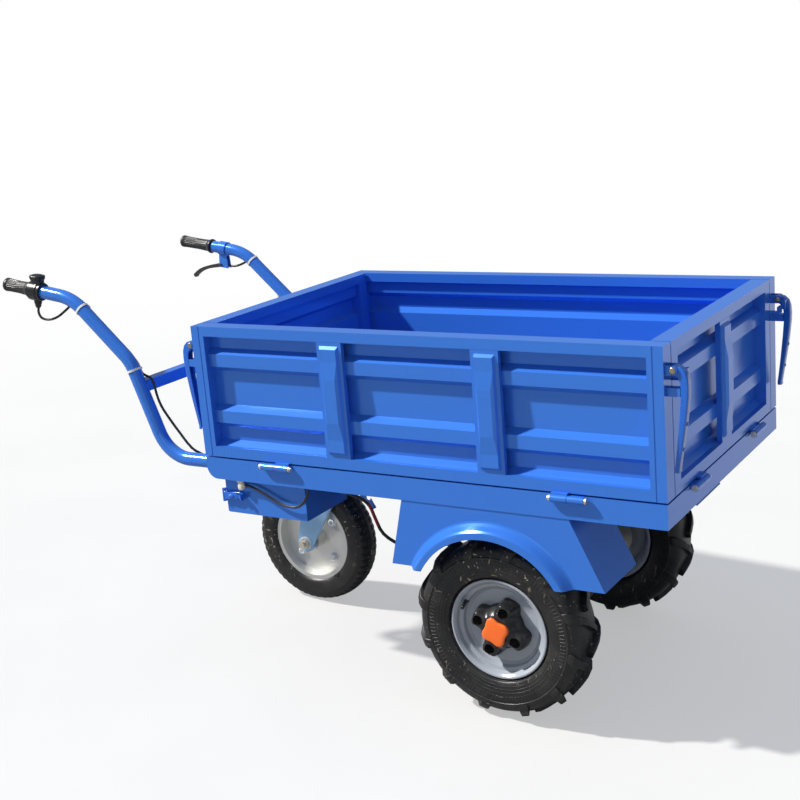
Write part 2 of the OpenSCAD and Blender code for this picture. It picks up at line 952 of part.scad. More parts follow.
// Folded box open towards the handles, with hinge ears and a staple
module battery_box() {
  color(blue)
    bed()
      translate([box_x, box_y, box_top - box_h]) {
        difference() {
          cube([box_l, box_d, box_h]);
          translate([-over, box_t, box_t])
            cube([box_l - box_t + over, box_d - 2 * box_t, box_h - 2 * box_t]);
        }
        difference() {
          for (z = [box_h / 8, box_h - box_h / 4])
            translate([0, box_d, z])
              door_ear();
          translate([door_t - door_barrel_r, box_d + door_barrel_r, -over])
            cylinder(r = door_pin_r + run_fit, h = box_h + 2 * over);
        }
        translate([staple_x - staple_w / 2, -staple_out, box_h / 2 - staple_h / 2])
          cube([staple_w, staple_out + box_t / 2, staple_h]);
      }
}

// Hinge ear of the box beside its far edge
module door_ear() {
  translate([door_t - door_barrel_r, door_barrel_r, 0])
    cylinder(r = door_barrel_r, h = box_h / 8);
  translate([door_t - door_barrel_r, -box_t / 2, 0])
    cube([door_barrel_r * 2, door_barrel_r, box_h / 8]);
}

// Door at the handle end with its pin, and a knuckle for the hasp
module battery_box_door() {
  y0 = -hasp_barrel_r;
  color(blue)
    bed()
      translate([box_x, box_y, box_top - box_h]) {
        translate([-door_t - seat_gap, 0, door_clear])
          cube([door_t, box_d - door_clear, box_h - 2 * door_clear]);
        translate([door_t - door_barrel_r, box_d + door_barrel_r, door_clear])
          cylinder(r = door_pin_r, h = box_h - 2 * door_clear);
        translate([door_t - door_barrel_r, box_d + door_barrel_r, box_h / 4 + seat_gap])
          cylinder(r = door_barrel_r, h = box_h / 2 - 2 * seat_gap);
        translate([-door_t - seat_gap, box_d - door_barrel_r, box_h / 4 + seat_gap])
          cube([door_t, 2 * door_barrel_r, box_h / 2 - 2 * seat_gap]);
        difference() {
          for (side = [-1, 1])
            translate([-door_t / 2 - seat_gap - hasp_barrel_r, y0,
              box_h / 2 + side * (hasp_h + hasp_barrel_r + 2 * seat_gap) / 2 - hasp_barrel_r / 2]) {
              cylinder(r = hasp_barrel_r, h = hasp_barrel_r);
              cube([hasp_barrel_r, 2 * hasp_barrel_r, hasp_barrel_r]);
            }
          translate([-door_t / 2 - seat_gap - hasp_barrel_r, y0, 0])
            cylinder(r = hasp_pin_r + run_fit, h = box_h);
        }
      }
}

// Hasp that swings off the staple, with its pin
module box_latch_lever() {
  z0 = box_h / 2 - hasp_h / 2;
  x0 = -door_t / 2 - seat_gap - hasp_barrel_r;
  color(blue)
    bed()
      translate([box_x, box_y, box_top - box_h]) {
        difference() {
          union() {
            translate([x0, -hasp_barrel_r, z0])
              cylinder(r = hasp_barrel_r, h = hasp_h);
            translate([x0, -hasp_barrel_r - hasp_t / 2, z0])
              cube([hasp_l, hasp_t, hasp_h]);
          }
          translate([staple_x - staple_w / 2 - over, -staple_out, box_h / 2 - staple_h / 2 - over])
            cube([staple_w + 2 * over, staple_out, staple_h + 2 * over]);
        }
        translate([x0, -hasp_barrel_r, z0 - hasp_barrel_r - seat_gap])
          cylinder(r = hasp_pin_r, h = hasp_h + 2 * hasp_barrel_r + 2 * seat_gap);
      }
}

module battery_pack() {
  color(green)
    bed()
      translate([box_x + box_l - box_t - pack_gap - pack_l, box_y + pack_side, box_top - box_h + box_t])
        difference() {
          cube([pack_l, pack_d, pack_h]);
          for (k = [-1, 1])
            translate([pack_l / 2 + k * pack_l / 4 - groove_w / 2, -over, -over])
              cube([groove_w, pack_d + 2 * over, groove_h + over]);
        }
}

module motor_controller() {
  pitch = pack_d / ctrl_fins;
  color(silver)
    bed()
      translate([box_x + door_room, box_y + pack_side, box_top - box_h + box_t]) {
        cube([ctrl_l, pack_d, ctrl_h]);
        for (k = [0 : ctrl_fins - 1])
          translate([0, k * pitch + pitch / 4, ctrl_h])
            cube([ctrl_l, pitch / 3, fin_h]);
      }
}

// Axle tube and gear housing about the axle
module axle_housing() {
  color(black)
    bed()
      translate([drive_x, 0, -drive_z])
        difference() {
          union() {
            bar_y(axle_tube_r, -tube_end_y, tube_end_y);
            bar_y(gear_r, -gear_w / 2, gear_w / 2);
          }
          for (side = [-1, 1])
            translate([0, side * (tube_end_y - shaft_in / 2 + over / 2), 0])
              bar_y(shaft_r + run_fit, -shaft_in / 2, shaft_in / 2 + over);
        }
}

module drive_motor() {
  color(black)
    bed()
      translate([0, 0, -drive_z])
        difference() {
          union() {
            bar_x(motor_r, motor_x - motor_l, motor_x);
            bar_x(motor_r + plate, motor_end, motor_end + 5 * plate);
          }
          translate([drive_x, 0, 0])
            bar_y(gear_r + slip, -bed_w, bed_w);
        }
}

// Plates that hang the axle under the cross members
module axle_brackets() {
  h0 = floor_t + member_h;
  w = member_w * 2;
  clamp_r = axle_tube_r + bracket_t;
  color(blue)
    bed()
      for (side = [-1, 1])
        difference() {
          union() {
            slab(side * bracket_y - bracket_t / 2, side * bracket_y + bracket_t / 2)
              polygon([[drive_x - w, -h0], [drive_x + w, -h0],
                [drive_x + clamp_r, -drive_z], [drive_x - clamp_r, -drive_z]]);
            translate([drive_x, 0, -drive_z])
              bar_y(clamp_r, side * bracket_y - bracket_t / 2, side * bracket_y + bracket_t / 2);
            translate([-member_w / 2, side * bracket_y - bracket_t / 2, -h0 - rail_t])
              cube([member_pitch + member_w, member_w, rail_t]);
          }
          translate([drive_x, 0, -drive_z])
            bar_y(axle_tube_r + run_fit, -half_w, half_w);
        }
}

// Straight legs and true bends along points in the upright plane
function unit(v) = v / norm(v);
function leg(p, i) = unit(p[i + 1] - p[i]);
function bend(p, i) = acos(leg(p, i - 1) * leg(p, i));
function radius(p, i) = i == len(p) - 2 ? neck_r : bend_r;
function trim(p, i) = i == 0 || i == len(p) - 1 ? 0 : radius(p, i) * tan(bend(p, i) / 2);
function axis_of(p, i) = p[i] + unit(leg(p, i) - leg(p, i - 1)) * radius(p, i) / cos(bend(p, i) / 2);

module bent_tube(p) {
  for (i = [0 : len(p) - 2]) {
    a = p[i] + leg(p, i) * (i == 0 ? 0 : trim(p, i) - over);
    b = p[i + 1] - leg(p, i) * (i == len(p) - 2 ? 0 : trim(p, i + 1) - over);
    translate([a.x, 0, a.y])
      rotate([0, atan2(b.x - a.x, b.y - a.y), 0])
        linear_extrude(norm(b - a))
          tube_ring(0);
  }
  for (i = [1 : len(p) - 2]) {
    c = axis_of(p, i);
    s = p[i] - leg(p, i - 1) * trim(p, i) - c;
    e = p[i] + leg(p, i) * trim(p, i) - c;
    from = s.x * e.y - s.y * e.x > 0 ? s : e;
    translate([c.x, 0, c.y])
      rotate([90, 0, 0])
        rotate([0, 0, atan2(from.y, from.x)])
          rotate_extrude(angle = bend(p, i))
            translate([radius(p, i), 0])
              tube_ring(bend_thin);
  }
}

// Section of the tube, drawn thinner by a little in the bends
module tube_ring(thin) {
  difference() {
    circle(tube_r - thin);
    circle(tube_r - tube_t + thin);
  }
}

// Place on a grip: along is back from the handle end, up is square to the bar
module at_grip(side) {
  translate([grip_end.x, side * handle_y, grip_end.y])
    rotate([0, grip_tilt, 0])
      children();
}

// Bent tube with the thinner bar that carries the grip
module handle(side, stop) {
  p = [handle_pts[0], handle_pts[1], handle_pts[2], handle_pts[3], grip_end - grip_dir * stop];
  color(blue)
    bed() {
      translate([0, side * handle_y, 0])
        bent_tube(p);
      at_grip(side)
        bar_x(bar_r, 0, stop + plate * 4);
      at_grip(side)
        bar_x(tube_r - tube_t / 2, stop + slip, stop + plate * 4);
    }
}

module near_handle() {
  handle(-1, tube_stop);
}

module far_handle() {
  handle(1, brake_grip_l + grip_cap);
}

// Square tube between the handles, its ends cut round to them
module handle_crossbar() {
  d = leg(handle_pts, 1);
  color(blue)
    bed()
      translate([crossbar_x, 0, crossbar_z])
        difference() {
          translate([-crossbar_w / 2, -handle_y, -crossbar_w / 2])
            cube([crossbar_w, 2 * handle_y, crossbar_w]);
          translate([tube_t - crossbar_w / 2, -half_w, tube_t - crossbar_w / 2])
            cube([crossbar_w - 2 * tube_t, bed_w, crossbar_w - 2 * tube_t]);
          for (side = [-1, 1])
            translate([0, side * handle_y, 0])
              rotate([0, atan2(d.x, d.y), 0])
                cylinder(r = tube_r + run_fit, h = bed_w, center = true);
        }
}

// Clamp body of the throttle with its switch head and lead tail
module throttle_housing() {
  x0 = throttle_l + slip;
  top = housing_r + head_h / 2;
  color(black)
    bed()
      at_grip(-1)
        difference() {
          union() {
            bar_x(housing_r, x0, x0 + housing_l - slip);
            translate([x0 + (housing_l - head_l) / 2, -head_w / 2, 0])
              cube([head_l, head_w, top]);
            translate([x0 + housing_l / 2, 0, -housing_r - tail_l / 2])
              cylinder(r = tail_r, h = tail_l);
          }
          bar_x(bar_r + run_fit, x0 - over, x0 + housing_l + over);
          translate([x0 + (housing_l - rocker_l) / 2 - slip, -rocker_w / 2 - slip, top - rocker_r])
            cube([rocker_l + 2 * slip, rocker_w + 2 * slip, rocker_r + over]);
          translate([x0 + housing_l / 2, 0, top - rocker_r / 2])
            bar_y(rocker_pin_r + run_fit, -head_w / 2 + plate, head_w / 2 - plate);
        }
}

// Twisting sleeve with ribs and an end flange
module throttle_grip() {
  ribs = 9;
  pitch = (throttle_l - 2 * collar_l) / ribs;
  color(black)
    bed()
      at_grip(-1)
        difference() {
          union() {
            bar_x(grip_r - grip_groove, 0, throttle_l);
            bar_x(grip_r, -grip_cap, collar_l);
            bar_x(collar_r, throttle_l - collar_l / 2, throttle_l);
            for (k = [0 : ribs - 1])
              bar_x(grip_r, collar_l + (k + 1 / 4) * pitch, collar_l + (k + 3 / 4) * pitch);
          }
          bar_x(bar_r + run_fit, -seat_gap, throttle_l + over);
        }
}

// Rocker for forward and reverse in the switch head
module direction_rocker() {
  x = throttle_l + slip + housing_l / 2;
  z = housing_r + head_h / 2 - rocker_r / 2;
  color(black)
    bed()
      at_grip(-1)
        translate([x, 0, z]) {
          intersection() {
            bar_y(rocker_r, -rocker_w / 2, rocker_w / 2);
            translate([-rocker_r, -rocker_w / 2, -rocker_pin_r])
              cube([2 * rocker_r, rocker_w, rocker_pin_r + rocker_r * rocker_top_share]);
          }
          bar_y(rocker_pin_r, -rocker_w / 2 - plate, rocker_w / 2 + plate);
        }
}

module brake_side_grip() {
  ribs = 12;
  pitch = (brake_grip_l - 3 * collar_l) / ribs;
  color(black)
    bed()
      at_grip(1)
        difference() {
          union() {
            bar_x(grip_r - grip_groove, -grip_cap, brake_grip_l);
            bar_x(grip_r, -grip_cap, collar_l);
            bar_x(collar_r, brake_grip_l - collar_l, brake_grip_l);
            for (k = [0 : ribs - 1])
              bar_x(grip_r, collar_l + (k + 1 / 4) * pitch, collar_l + (k + 3 / 4) * pitch);
          }
          bar_x(bar_r + run_fit, -seat_gap, brake_grip_l + over);
        }
}

// Clamp under the tube with two bored cheeks for the brake lever
module brake_bracket() {
  color(blue)
    bed()
      at_grip(1)
        difference() {
          union() {
            translate([clamp_x, 0, 0])
              bar_x(tube_r + plate, -lever_blade_w, lever_blade_w);
            for (v = [-lever_blade_t / 2 - seat_gap - plate, lever_blade_t / 2 + seat_gap])
              slab(v, v + plate)
                polygon([[clamp_x - lever_blade_w, -tube_r], [clamp_x + lever_blade_w, -tube_r],
                  [pivot_pos.x + 2 * lever_blade_w, pivot_pos.y - lever_blade_w / 2],
                  [pivot_pos.x - lever_blade_w / 2, pivot_pos.y - lever_blade_w / 2]]);
          }
          bar_x(tube_r + run_fit, 0, clamp_x * 2);
          translate([pivot_pos.x, 0, pivot_pos.y])
            bar_y(lever_pivot_r + run_fit, -half_w, half_w);
        }
}

// Middle line and half width of the brake lever, by the share of its reach
function lever_line(t) = [-lever_reach * t, lever_rise * t - lever_dip * pow(t, 4)];
function lever_half(t) = lever_blade_w / 2 * (1 - t * (1 - t));

// Curved brake lever with its pivot pin
module brake_lever() {
  w = lever_blade_t / 2;
  steps = 12;
  color(black)
    bed()
      at_grip(1)
        translate([pivot_pos.x, 0, pivot_pos.y])
          rotate([0, -lever_tilt, 0]) {
            slab(-w, w) {
              circle(lever_blade_w / 2);
              polygon([
                for (k = [0 : steps]) lever_line(k / steps) + [0, lever_half(k / steps)],
                for (k = [0 : steps]) lever_line(1 - k / steps) - [0, lever_half(1 - k / steps)]]);
              translate(lever_line(1))
                circle(lever_half(1));
            }
            bar_y(lever_pivot_r, -w - seat_gap - 2 * plate, w + seat_gap + 2 * plate);
          }
}

// Smooth path through the route points
function mix(a, b, c, d, t) = (2 * b + (c - a) * t + (2 * a - 5 * b + 4 * c - d) * t * t
  + (3 * b - a - 3 * c + d) * t * t * t) / 2;
function smooth(p) = [for (i = [0 : len(p) - 2], k = [0 : ring_steps - 1])
  mix(p[max(i - 1, 0)], p[i], p[i + 1], p[min(i + 2, len(p) - 1)], k / ring_steps), p[len(p) - 1]];
function heading(p, i) = unit(p[min(i + 1, len(p) - 1)] - p[max(i - 1, 0)]);
function ring(p, i, r) = let (
  t = heading(p, i),
  a = unit(cross(t, abs(t.y) > abs(t.z) ? [0, 0, 1] : [0, 1, 0])),
  b = cross(t, a))
  [for (k = [0 : ring_sides - 1])
    p[i] + r * (cos(k * 360 / ring_sides) * a + sin(k * 360 / ring_sides) * b)];

// Round lead along a route
module lead(route, d) {
  p = smooth(route);
  n = ring_sides;
  last = len(p) - 1;
  polyhedron(
    points = [for (i = [0 : last], q = ring(p, i, d / 2)) q],
    faces = [
      [for (k = [0 : n - 1]) k],
      [for (k = [0 : n - 1]) last * n + n - 1 - k],
      for (i = [0 : last - 1], k = [0 : n - 1], half = [0, 1])
        let (a = i * n + k, b = i * n + (k + 1) % n)
          half == 0 ? [b, a, a + n] : [b, a + n, b + n]]);
}

// Route moved so that it runs from one place to another, its first legs free and the rest tied to its end
function carry(p, from, to, legs) = [for (i = [0 : len(p) - 1])
  let (w = max(0, 1 - i / legs)) p[i] + (from - p[0]) * w + (to - p[len(p) - 1]) * (1 - w)];

// Place in the upright plane of a grip, along it and up from it
function on_grip(along, up) = [grip_end.x + along * cos(grip_tilt) + up * sin(grip_tilt),
  grip_end.y - along * sin(grip_tilt) + up * cos(grip_tilt)];

module throttle_cable() {
  from = on_grip(throttle_l + slip + housing_l / 2, -housing_r - tail_l / 2 - slip);
  color(black)
    bed()
      lead(carry(throttle_route, [from.x, -handle_y, from.y],
        [-half_l - 2 * seat_gap, lead_in - handle_y, -lead_low], throttle_legs), cable_d);
}

module brake_cable() {
  from = on_grip(stop_pos.x, stop_pos.y);
  color(black)
    bed()
      lead(carry(brake_route, [from.x, handle_y, from.y],
        [-half_l - 2 * seat_gap, handle_y - lead_in, -lead_low], brake_legs), cable_d);
}

module box_cable() {
  lead_y = -half_w + plug_in + plug_d / 2;
  color(black)
    bed()
      lead(carry(box_route, [plug_x + plug_w / 2 + plate + slip, lead_y, -rail_h - plug_h / 2],
        [box_x + box_l + box_lead_out, lead_y, -rail_h - 2 * seat_gap], len(box_route) - 1), cable_d);
}

module motor_cable() {
  color(black)
    bed()
      lead(carry(motor_route, [box_x + box_l + 2 * seat_gap, box_y + power_in, box_top - power_low],
        [motor_end - 2 * seat_gap, 0, power_up - drive_z], len(motor_route) - 1), power_d);
}

// Ties that hold the leads against the sides of the tubes
module cable_ties() {
  gap = lead_off;
  color(cream)
    bed()
      for (side = [-1, 1], k = [1, 2], share = k == 1 ? [tie_low_share] : [tie_high_share]) {
        c = handle_pts[k] + (handle_pts[k + 1] - handle_pts[k]) * share;
        d = leg(handle_pts, k);
        lead_y = side > 0 && k == 2 ? gap : -side * gap;
        translate([c.x, side * handle_y, c.y])
          rotate([0, atan2(d.x, d.y), 0])
            linear_extrude(tie_w)
              difference() {
                union() {
                  circle(tube_r + tie_t);
                  translate([0, lead_y])
                    circle(cable_d / 2 + tie_t + tie_ease);
                }
                circle(tube_r + slip);
                translate([0, lead_y])
                  circle(cable_d / 2 + tie_ease);
              }
      }
}

// Slanted flat bar that carries the motor lead
module cable_bracket() {
  x0 = -member_pitch;
  z0 = -floor_t - member_h;
  color(blue)
    bed()
      difference() {
        slab(-hanger_y - plate, -hanger_y)
          polygon([[x0 - hanger_w / 2, z0], [x0 + hanger_w, z0],
            [x0 + hanger_run, z0 - hanger_drop + hanger_w / 4],
            [x0 + hanger_run - hanger_w / 2, z0 - hanger_drop]]);
        translate([x0 + hanger_run - hanger_w * hanger_hole_share, 0, z0 - hanger_drop + hanger_w])
          bar_y(hanger_hole_r, -half_w, half_w);
      }
}

// Plug body under the rail beside the battery box
module charge_connector() {
  color(cream)
    bed()
      translate([plug_x - plug_w / 2, -half_w + plug_in, -rail_h - plug_h]) {
        cube([plug_w, plug_d, plug_h]);
        translate([-plate, plug_d / 4, plug_h / 4])
          cube([plug_w + 2 * plate, plug_d / 2, plug_h / 2]);
      }
}

// Wheel place: near wheel drawn with its outer side towards -Y
module at_wheel(side) {
  bed()
    mirror([0, side > 0 ? 1 : 0, 0])
      translate([drive_x, -drive_y, -drive_z])
        rotate([0, wheel_turn, 0])
          children();
}

// Half section of a tyre from bead to tread
function tyre_side(seat, h, w) = [for (q = tyre_shares) [seat + q[0] * h, q[1] * w]];
function flip(p) = [for (q = p) [q.x, -q.y]];
function turn_back(p) = [for (i = [len(p) - 1 : -1 : 0]) p[i]];

module tyre(seat, r, w) {
  outer = tyre_side(seat, r - seat, w / 2);
  inner = tyre_side(seat, r - seat - tyre_t, w / 2 - tyre_t);
  turned()
    polygon(concat(outer, turn_back(flip(outer)), flip(inner), turn_back(inner)));
}

// Barrel and flanges of a rim
module rim_barrel(seat, r, w) {
  turned()
    for (side = [-1, 1])
      polygon([[seat - slip, 0], [seat - slip, side * (w / 2 - rim_t)], [r, side * (w / 2 - rim_t)],
        [r, side * w / 2], [seat - rim_t, side * w / 2], [seat - rim_t - slip, 0]]);
}

module drive_tyre(side) {
  color(black)
    at_wheel(side)
      tyre(rim_seat_r, drive_r, drive_w);
}

module drive_rim(side) {
  color(silver)
    at_wheel(side) {
      rim_barrel(rim_seat_r, rim_r, rim_w);
      difference() {
        bar_y(rim_seat_r - rim_t, -disc_y - rim_t, -disc_y);
        stud_ring()
          bar_y(stud_r + slip, -rim_w, rim_w);
        bar_y(shaft_r + slip, -rim_w, rim_w);
      }
    }
}

module stud_ring() {
  for (k = [0 : stud_count - 1])
    rotate([0, k * 360 / stud_count, 0])
      translate([stud_ring_r, 0, 0])
        children();
}

// Hub with drive shaft, studs and nuts
module drive_hub(side) {
  y0 = -disc_y - rim_t;
  color(zinc)
    at_wheel(side) {
      bar_y(hub_r, -disc_y, hub_l - disc_y);
      bar_y(shaft_r, -disc_y, hub_l - disc_y + shaft_in - seat_gap);
      stud_ring() {
        bar_y(stud_r, y0 - nut_h - plate, -disc_y + plate);
        translate([0, y0, 0])
          rotate([90, 0, 0])
            cylinder(r = 2 * stud_r, h = nut_h, $fn = 6);
      }
    }
}

module cap_outline(inset) {
  circle(cap_core_r - inset);
  for (k = [0 : stud_count - 1])
    rotate(k * 360 / stud_count)
      translate([cap_r - cap_lobe_r, 0])
        circle(cap_lobe_r - inset);
}

// Four-lobed cap with a hole over each nut
module hub_cap(side) {
  y0 = -disc_y - rim_t;
  color(black)
    at_wheel(side)
      difference() {
        slab(y0 - cap_h, y0 - slip)
          cap_outline(0);
        slab(y0 - cap_h + cap_wall, y0 + over)
          cap_outline(cap_wall);
        stud_ring()
          bar_y(cap_hole_r, y0 - cap_h - over, y0 - cap_h + cap_wall + over);
      }
}

// Plain rounded star on the cap
module cap_badge(side) {
  y0 = -disc_y - rim_t - cap_h;
  points = 48;
  color(orange)
    at_wheel(side)
      slab(y0 - badge_h, y0)
        polygon([for (k = [0 : points - 1])
          let (a = k * 360 / points, r = badge_r - badge_lobe_r * (1 + cos(4 * a)) / 2)
            [r * cos(a), r * sin(a)]]);
}

module near_tyre() {
  drive_tyre(-1);
}

module near_rim() {
  drive_rim(-1);
}

module near_hub() {
  drive_hub(-1);
}

module near_hub_cap() {
  hub_cap(-1);
}

module near_cap_badge() {
  cap_badge(-1);
}

module far_tyre() {
  drive_tyre(1);
}

module far_rim() {
  drive_rim(1);
}

module far_hub() {
  drive_hub(1);
}

module far_hub_cap() {
  hub_cap(1);
}

module far_cap_badge() {
  cap_badge(1);
}

// Plate under the chassis and pedestal that holds the swivel bearing
module caster_mount() {
  x0 = rail_t - half_l;
  x1 = member_w / 2 - member_pitch;
  zb = fork_top + crown_t + slip + swivel_h;
  color(blue) {
    difference() {
      bed() {
        translate([x0, -mount_w / 2, -rail_h - mount_t])
          cube([x1 - x0, mount_w, mount_t]);
        translate([x1 - member_w, -mount_w / 2, -rail_h - over])
          cube([member_w, mount_w, rail_h + over - floor_t - member_h]);
      }
      at_caster()
        translate([caster_trail, 0, 0])
          cylinder(r = kingpin_r + run_fit, h = bed_w);
    }
    difference() {
      at_caster()
        translate([caster_trail, 0, zb])
          difference() {
            cylinder(r = swivel_r, h = rail_h * 2);
            translate([0, 0, -over])
              cylinder(r = kingpin_r + run_fit, h = bed_w);
          }
      bed()
        translate([-bed_l, -half_w, -rail_h - mount_t + over])
          cube([bed_l, bed_w, bed_w]);
    }
  }
}

module caster_bearing() {
  color(zinc)
    at_caster()
      translate([caster_trail, 0, fork_top + crown_t + slip])
        difference() {
          union() {
            cylinder(r = swivel_r - plate, h = swivel_h);
            translate([0, 0, swivel_h / 2])
              cylinder(r = swivel_r, h = swivel_h / 2);
          }
          translate([0, 0, -over])
            cylinder(r = kingpin_r + run_fit, h = swivel_h + 2 * over);
        }
}

// Fork with slanting arms, crown and kingpin
module caster_fork() {
  mid = fork_y + fork_t / 2;
  color(pale_blue)
    at_caster() {
      difference() {
        for (side = [-1, 1])
          slab(side * mid - fork_t / 2, side * mid + fork_t / 2) {
            circle(fork_w / 2);
            polygon([[-fork_w / 2, 0], [-fork_w / 5, fork_top / 2], [caster_trail - fork_w, fork_top + over],
              [caster_trail + fork_w, fork_top + over], [caster_trail - fork_w / 4, fork_top / 2],
              [fork_w / 2, 0]]);
          }
        bar_y(caster_axle_r, -half_w, half_w);
      }
      translate([caster_trail - fork_w, -fork_y - fork_t, fork_top])
        cube([2 * fork_w, 2 * fork_y + 2 * fork_t, crown_t]);
      translate([caster_trail, 0, fork_top + over])
        cylinder(r = kingpin_r, h = crown_t + slip + swivel_h + rail_h * kingpin_share);
    }
}

// Bolt with nuts through fork and hub
module caster_axle() {
  y0 = fork_y + fork_t;
  color(zinc)
    at_caster() {
      bar_y(caster_axle_r, -y0 - caster_nut_h, y0 + caster_nut_h);
      for (side = [-1, 1])
        translate([0, side > 0 ? y0 + caster_nut_h - thread_out : -y0, 0])
          rotate([90, 0, 0])
            cylinder(r = caster_nut_r, h = caster_nut_h - thread_out, $fn = 6);
    }
}

// Pale disc wheel with its hub and clamp bolts
module caster_wheel() {
  color(silver)
    at_caster() {
      rim_barrel(caster_seat_r, caster_rim_r, caster_rim_w);
      difference() {
        union() {
          bar_y(caster_seat_r - rim_t, -rim_t, rim_t);
          bar_y(caster_hub_r, -caster_hub_l / 2, caster_hub_l / 2);
          for (k = [0 : caster_bolts - 1])
            rotate([0, (k + 1 / 2) * 360 / caster_bolts, 0])
              translate([caster_bolt_ring, 0, 0])
                bar_y(caster_bolt_r, -rim_t - nut_h, rim_t + nut_h);
        }
        bar_y(caster_axle_r + run_fit, -half_w, half_w);
      }
    }
}

module caster_tyre() {
  color(black)
    at_caster()
      tyre(caster_seat_r, caster_r, caster_w);
}

side_rails();
end_rails();
cross_members();
bed_floor();
hinge_pins();
near_side_panel();
near_side_stiffeners();
far_side_panel();
far_side_stiffeners();
tailgate();
tailgate_fittings();
front_panel();
front_panel_fittings();
near_tail_latch();
far_tail_latch();
near_front_latch();
far_front_latch();
near_fender();
far_fender();
battery_box();
battery_box_door();
battery_pack();
motor_controller();
box_latch_lever();
axle_housing();
drive_motor();
axle_brackets();
near_handle();
far_handle();
handle_crossbar();
throttle_housing();
throttle_grip();
direction_rocker();
brake_side_grip();
brake_bracket();
brake_lever();
throttle_cable();
brake_cable();
box_cable();
motor_cable();
cable_ties();
cable_bracket();
charge_connector();
near_tyre();
near_rim();
near_hub();
near_hub_cap();
near_cap_badge();
far_tyre();
far_rim();
far_hub();
far_hub_cap();
far_cap_badge();
caster_mount();
caster_bearing();
caster_fork();
caster_axle();
caster_wheel();
caster_tyre();
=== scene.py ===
"""Looks of the three-wheel site cart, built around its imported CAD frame."""

import json
import math

import bmesh
import bpy
from mathutils import Matrix, Vector


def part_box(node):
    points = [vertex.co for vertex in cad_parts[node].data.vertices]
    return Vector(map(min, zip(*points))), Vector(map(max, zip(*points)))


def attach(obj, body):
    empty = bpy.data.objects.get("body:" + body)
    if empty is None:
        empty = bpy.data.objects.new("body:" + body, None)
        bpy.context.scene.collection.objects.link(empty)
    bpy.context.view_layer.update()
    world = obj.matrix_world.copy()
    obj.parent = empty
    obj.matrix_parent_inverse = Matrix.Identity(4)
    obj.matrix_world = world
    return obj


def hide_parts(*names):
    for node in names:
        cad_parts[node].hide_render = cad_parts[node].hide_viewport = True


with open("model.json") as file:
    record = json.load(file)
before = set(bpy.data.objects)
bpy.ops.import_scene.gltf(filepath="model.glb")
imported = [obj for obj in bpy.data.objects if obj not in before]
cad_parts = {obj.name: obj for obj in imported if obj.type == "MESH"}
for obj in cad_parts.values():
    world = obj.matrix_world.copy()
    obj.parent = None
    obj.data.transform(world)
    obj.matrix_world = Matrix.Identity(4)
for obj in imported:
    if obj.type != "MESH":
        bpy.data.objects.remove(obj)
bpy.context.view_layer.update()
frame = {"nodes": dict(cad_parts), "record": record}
nodes = frame["nodes"]

MM = 0.001
TAU = 2 * math.pi

# Bed frame of the source: millimetres about mid bed, set on the ground by one placement
PITCH = math.radians(3.96169)
BED = Matrix.Translation((0.288041, 0, 0.511969)) @ Matrix.Rotation(-PITCH, 4, "Y")


def bed(x, y, z):
    """Row frame point of a place in the bed frame."""
    return BED @ Vector((x * MM, y * MM, z * MM))


def middle(node):
    """Middle of a node's box at rest."""
    low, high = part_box(node)
    return (Vector(low) + Vector(high)) / 2


def ring(bm, place, points):
    """New points of a ring, given in millimetres."""
    return [bm.verts.new(place @ (Vector(p) * MM)) for p in points]


def join(bm, one, two):
    """Faces between two closed rings of as many points."""
    n = len(one)
    for k in range(n):
        bm.faces.new((one[k], one[(k + 1) % n], two[(k + 1) % n], two[k]))


def skin(bm, rings):
    """Solid through rings, with a face over each end."""
    for one, two in zip(rings, rings[1:]):
        join(bm, one, two)
    bm.faces.new(rings[0])
    bm.faces.new(rings[-1])


def wrap(bm, rings):
    """Solid through rings, with the last one joined to the first."""
    for one, two in zip(rings, rings[1:] + rings[:1]):
        join(bm, one, two)


def to_mesh(name, bm, smooth=True):
    """Mesh of what was built, with its faces outward."""
    mesh = bpy.data.meshes.new(name)
    bmesh.ops.recalc_face_normals(bm, faces=bm.faces)
    bm.to_mesh(mesh)
    bm.free()
    for p in mesh.polygons:
        p.use_smooth = smooth
    return mesh


# Camera of the photograph, in the bed frame
FOCAL_PX = 1356.89
IMAGE_PX = 800
SENSOR = 36.0
CAM_PLACE = (1411.2, -2634.3, 858.9)
CAM_AZ, CAM_EL, CAM_ROLL = (math.radians(a) for a in (32.077, 14.405, -4.745))


def make_camera():
    """Camera at the photograph's place, turn and focal length."""
    back = Vector((math.sin(CAM_AZ) * math.cos(CAM_EL), -math.cos(CAM_AZ) * math.cos(CAM_EL),
                   math.sin(CAM_EL)))
    right = Vector((0, 0, 1)).cross(back).normalized()
    up = back.cross(right)
    c, s = math.cos(CAM_ROLL), math.sin(CAM_ROLL)
    axes = Matrix((c * right + s * up, c * up - s * right, back)).transposed()
    data = bpy.data.cameras.new("camera")
    data.sensor_width = SENSOR
    data.lens = FOCAL_PX / IMAGE_PX * SENSOR
    cam = bpy.data.objects.new("camera", data)
    bpy.context.scene.collection.objects.link(cam)
    turn = BED.to_3x3() @ axes
    cam.matrix_world = Matrix.Translation(bed(*CAM_PLACE)) @ turn.to_4x4()
    bpy.context.scene.camera = cam


make_camera()

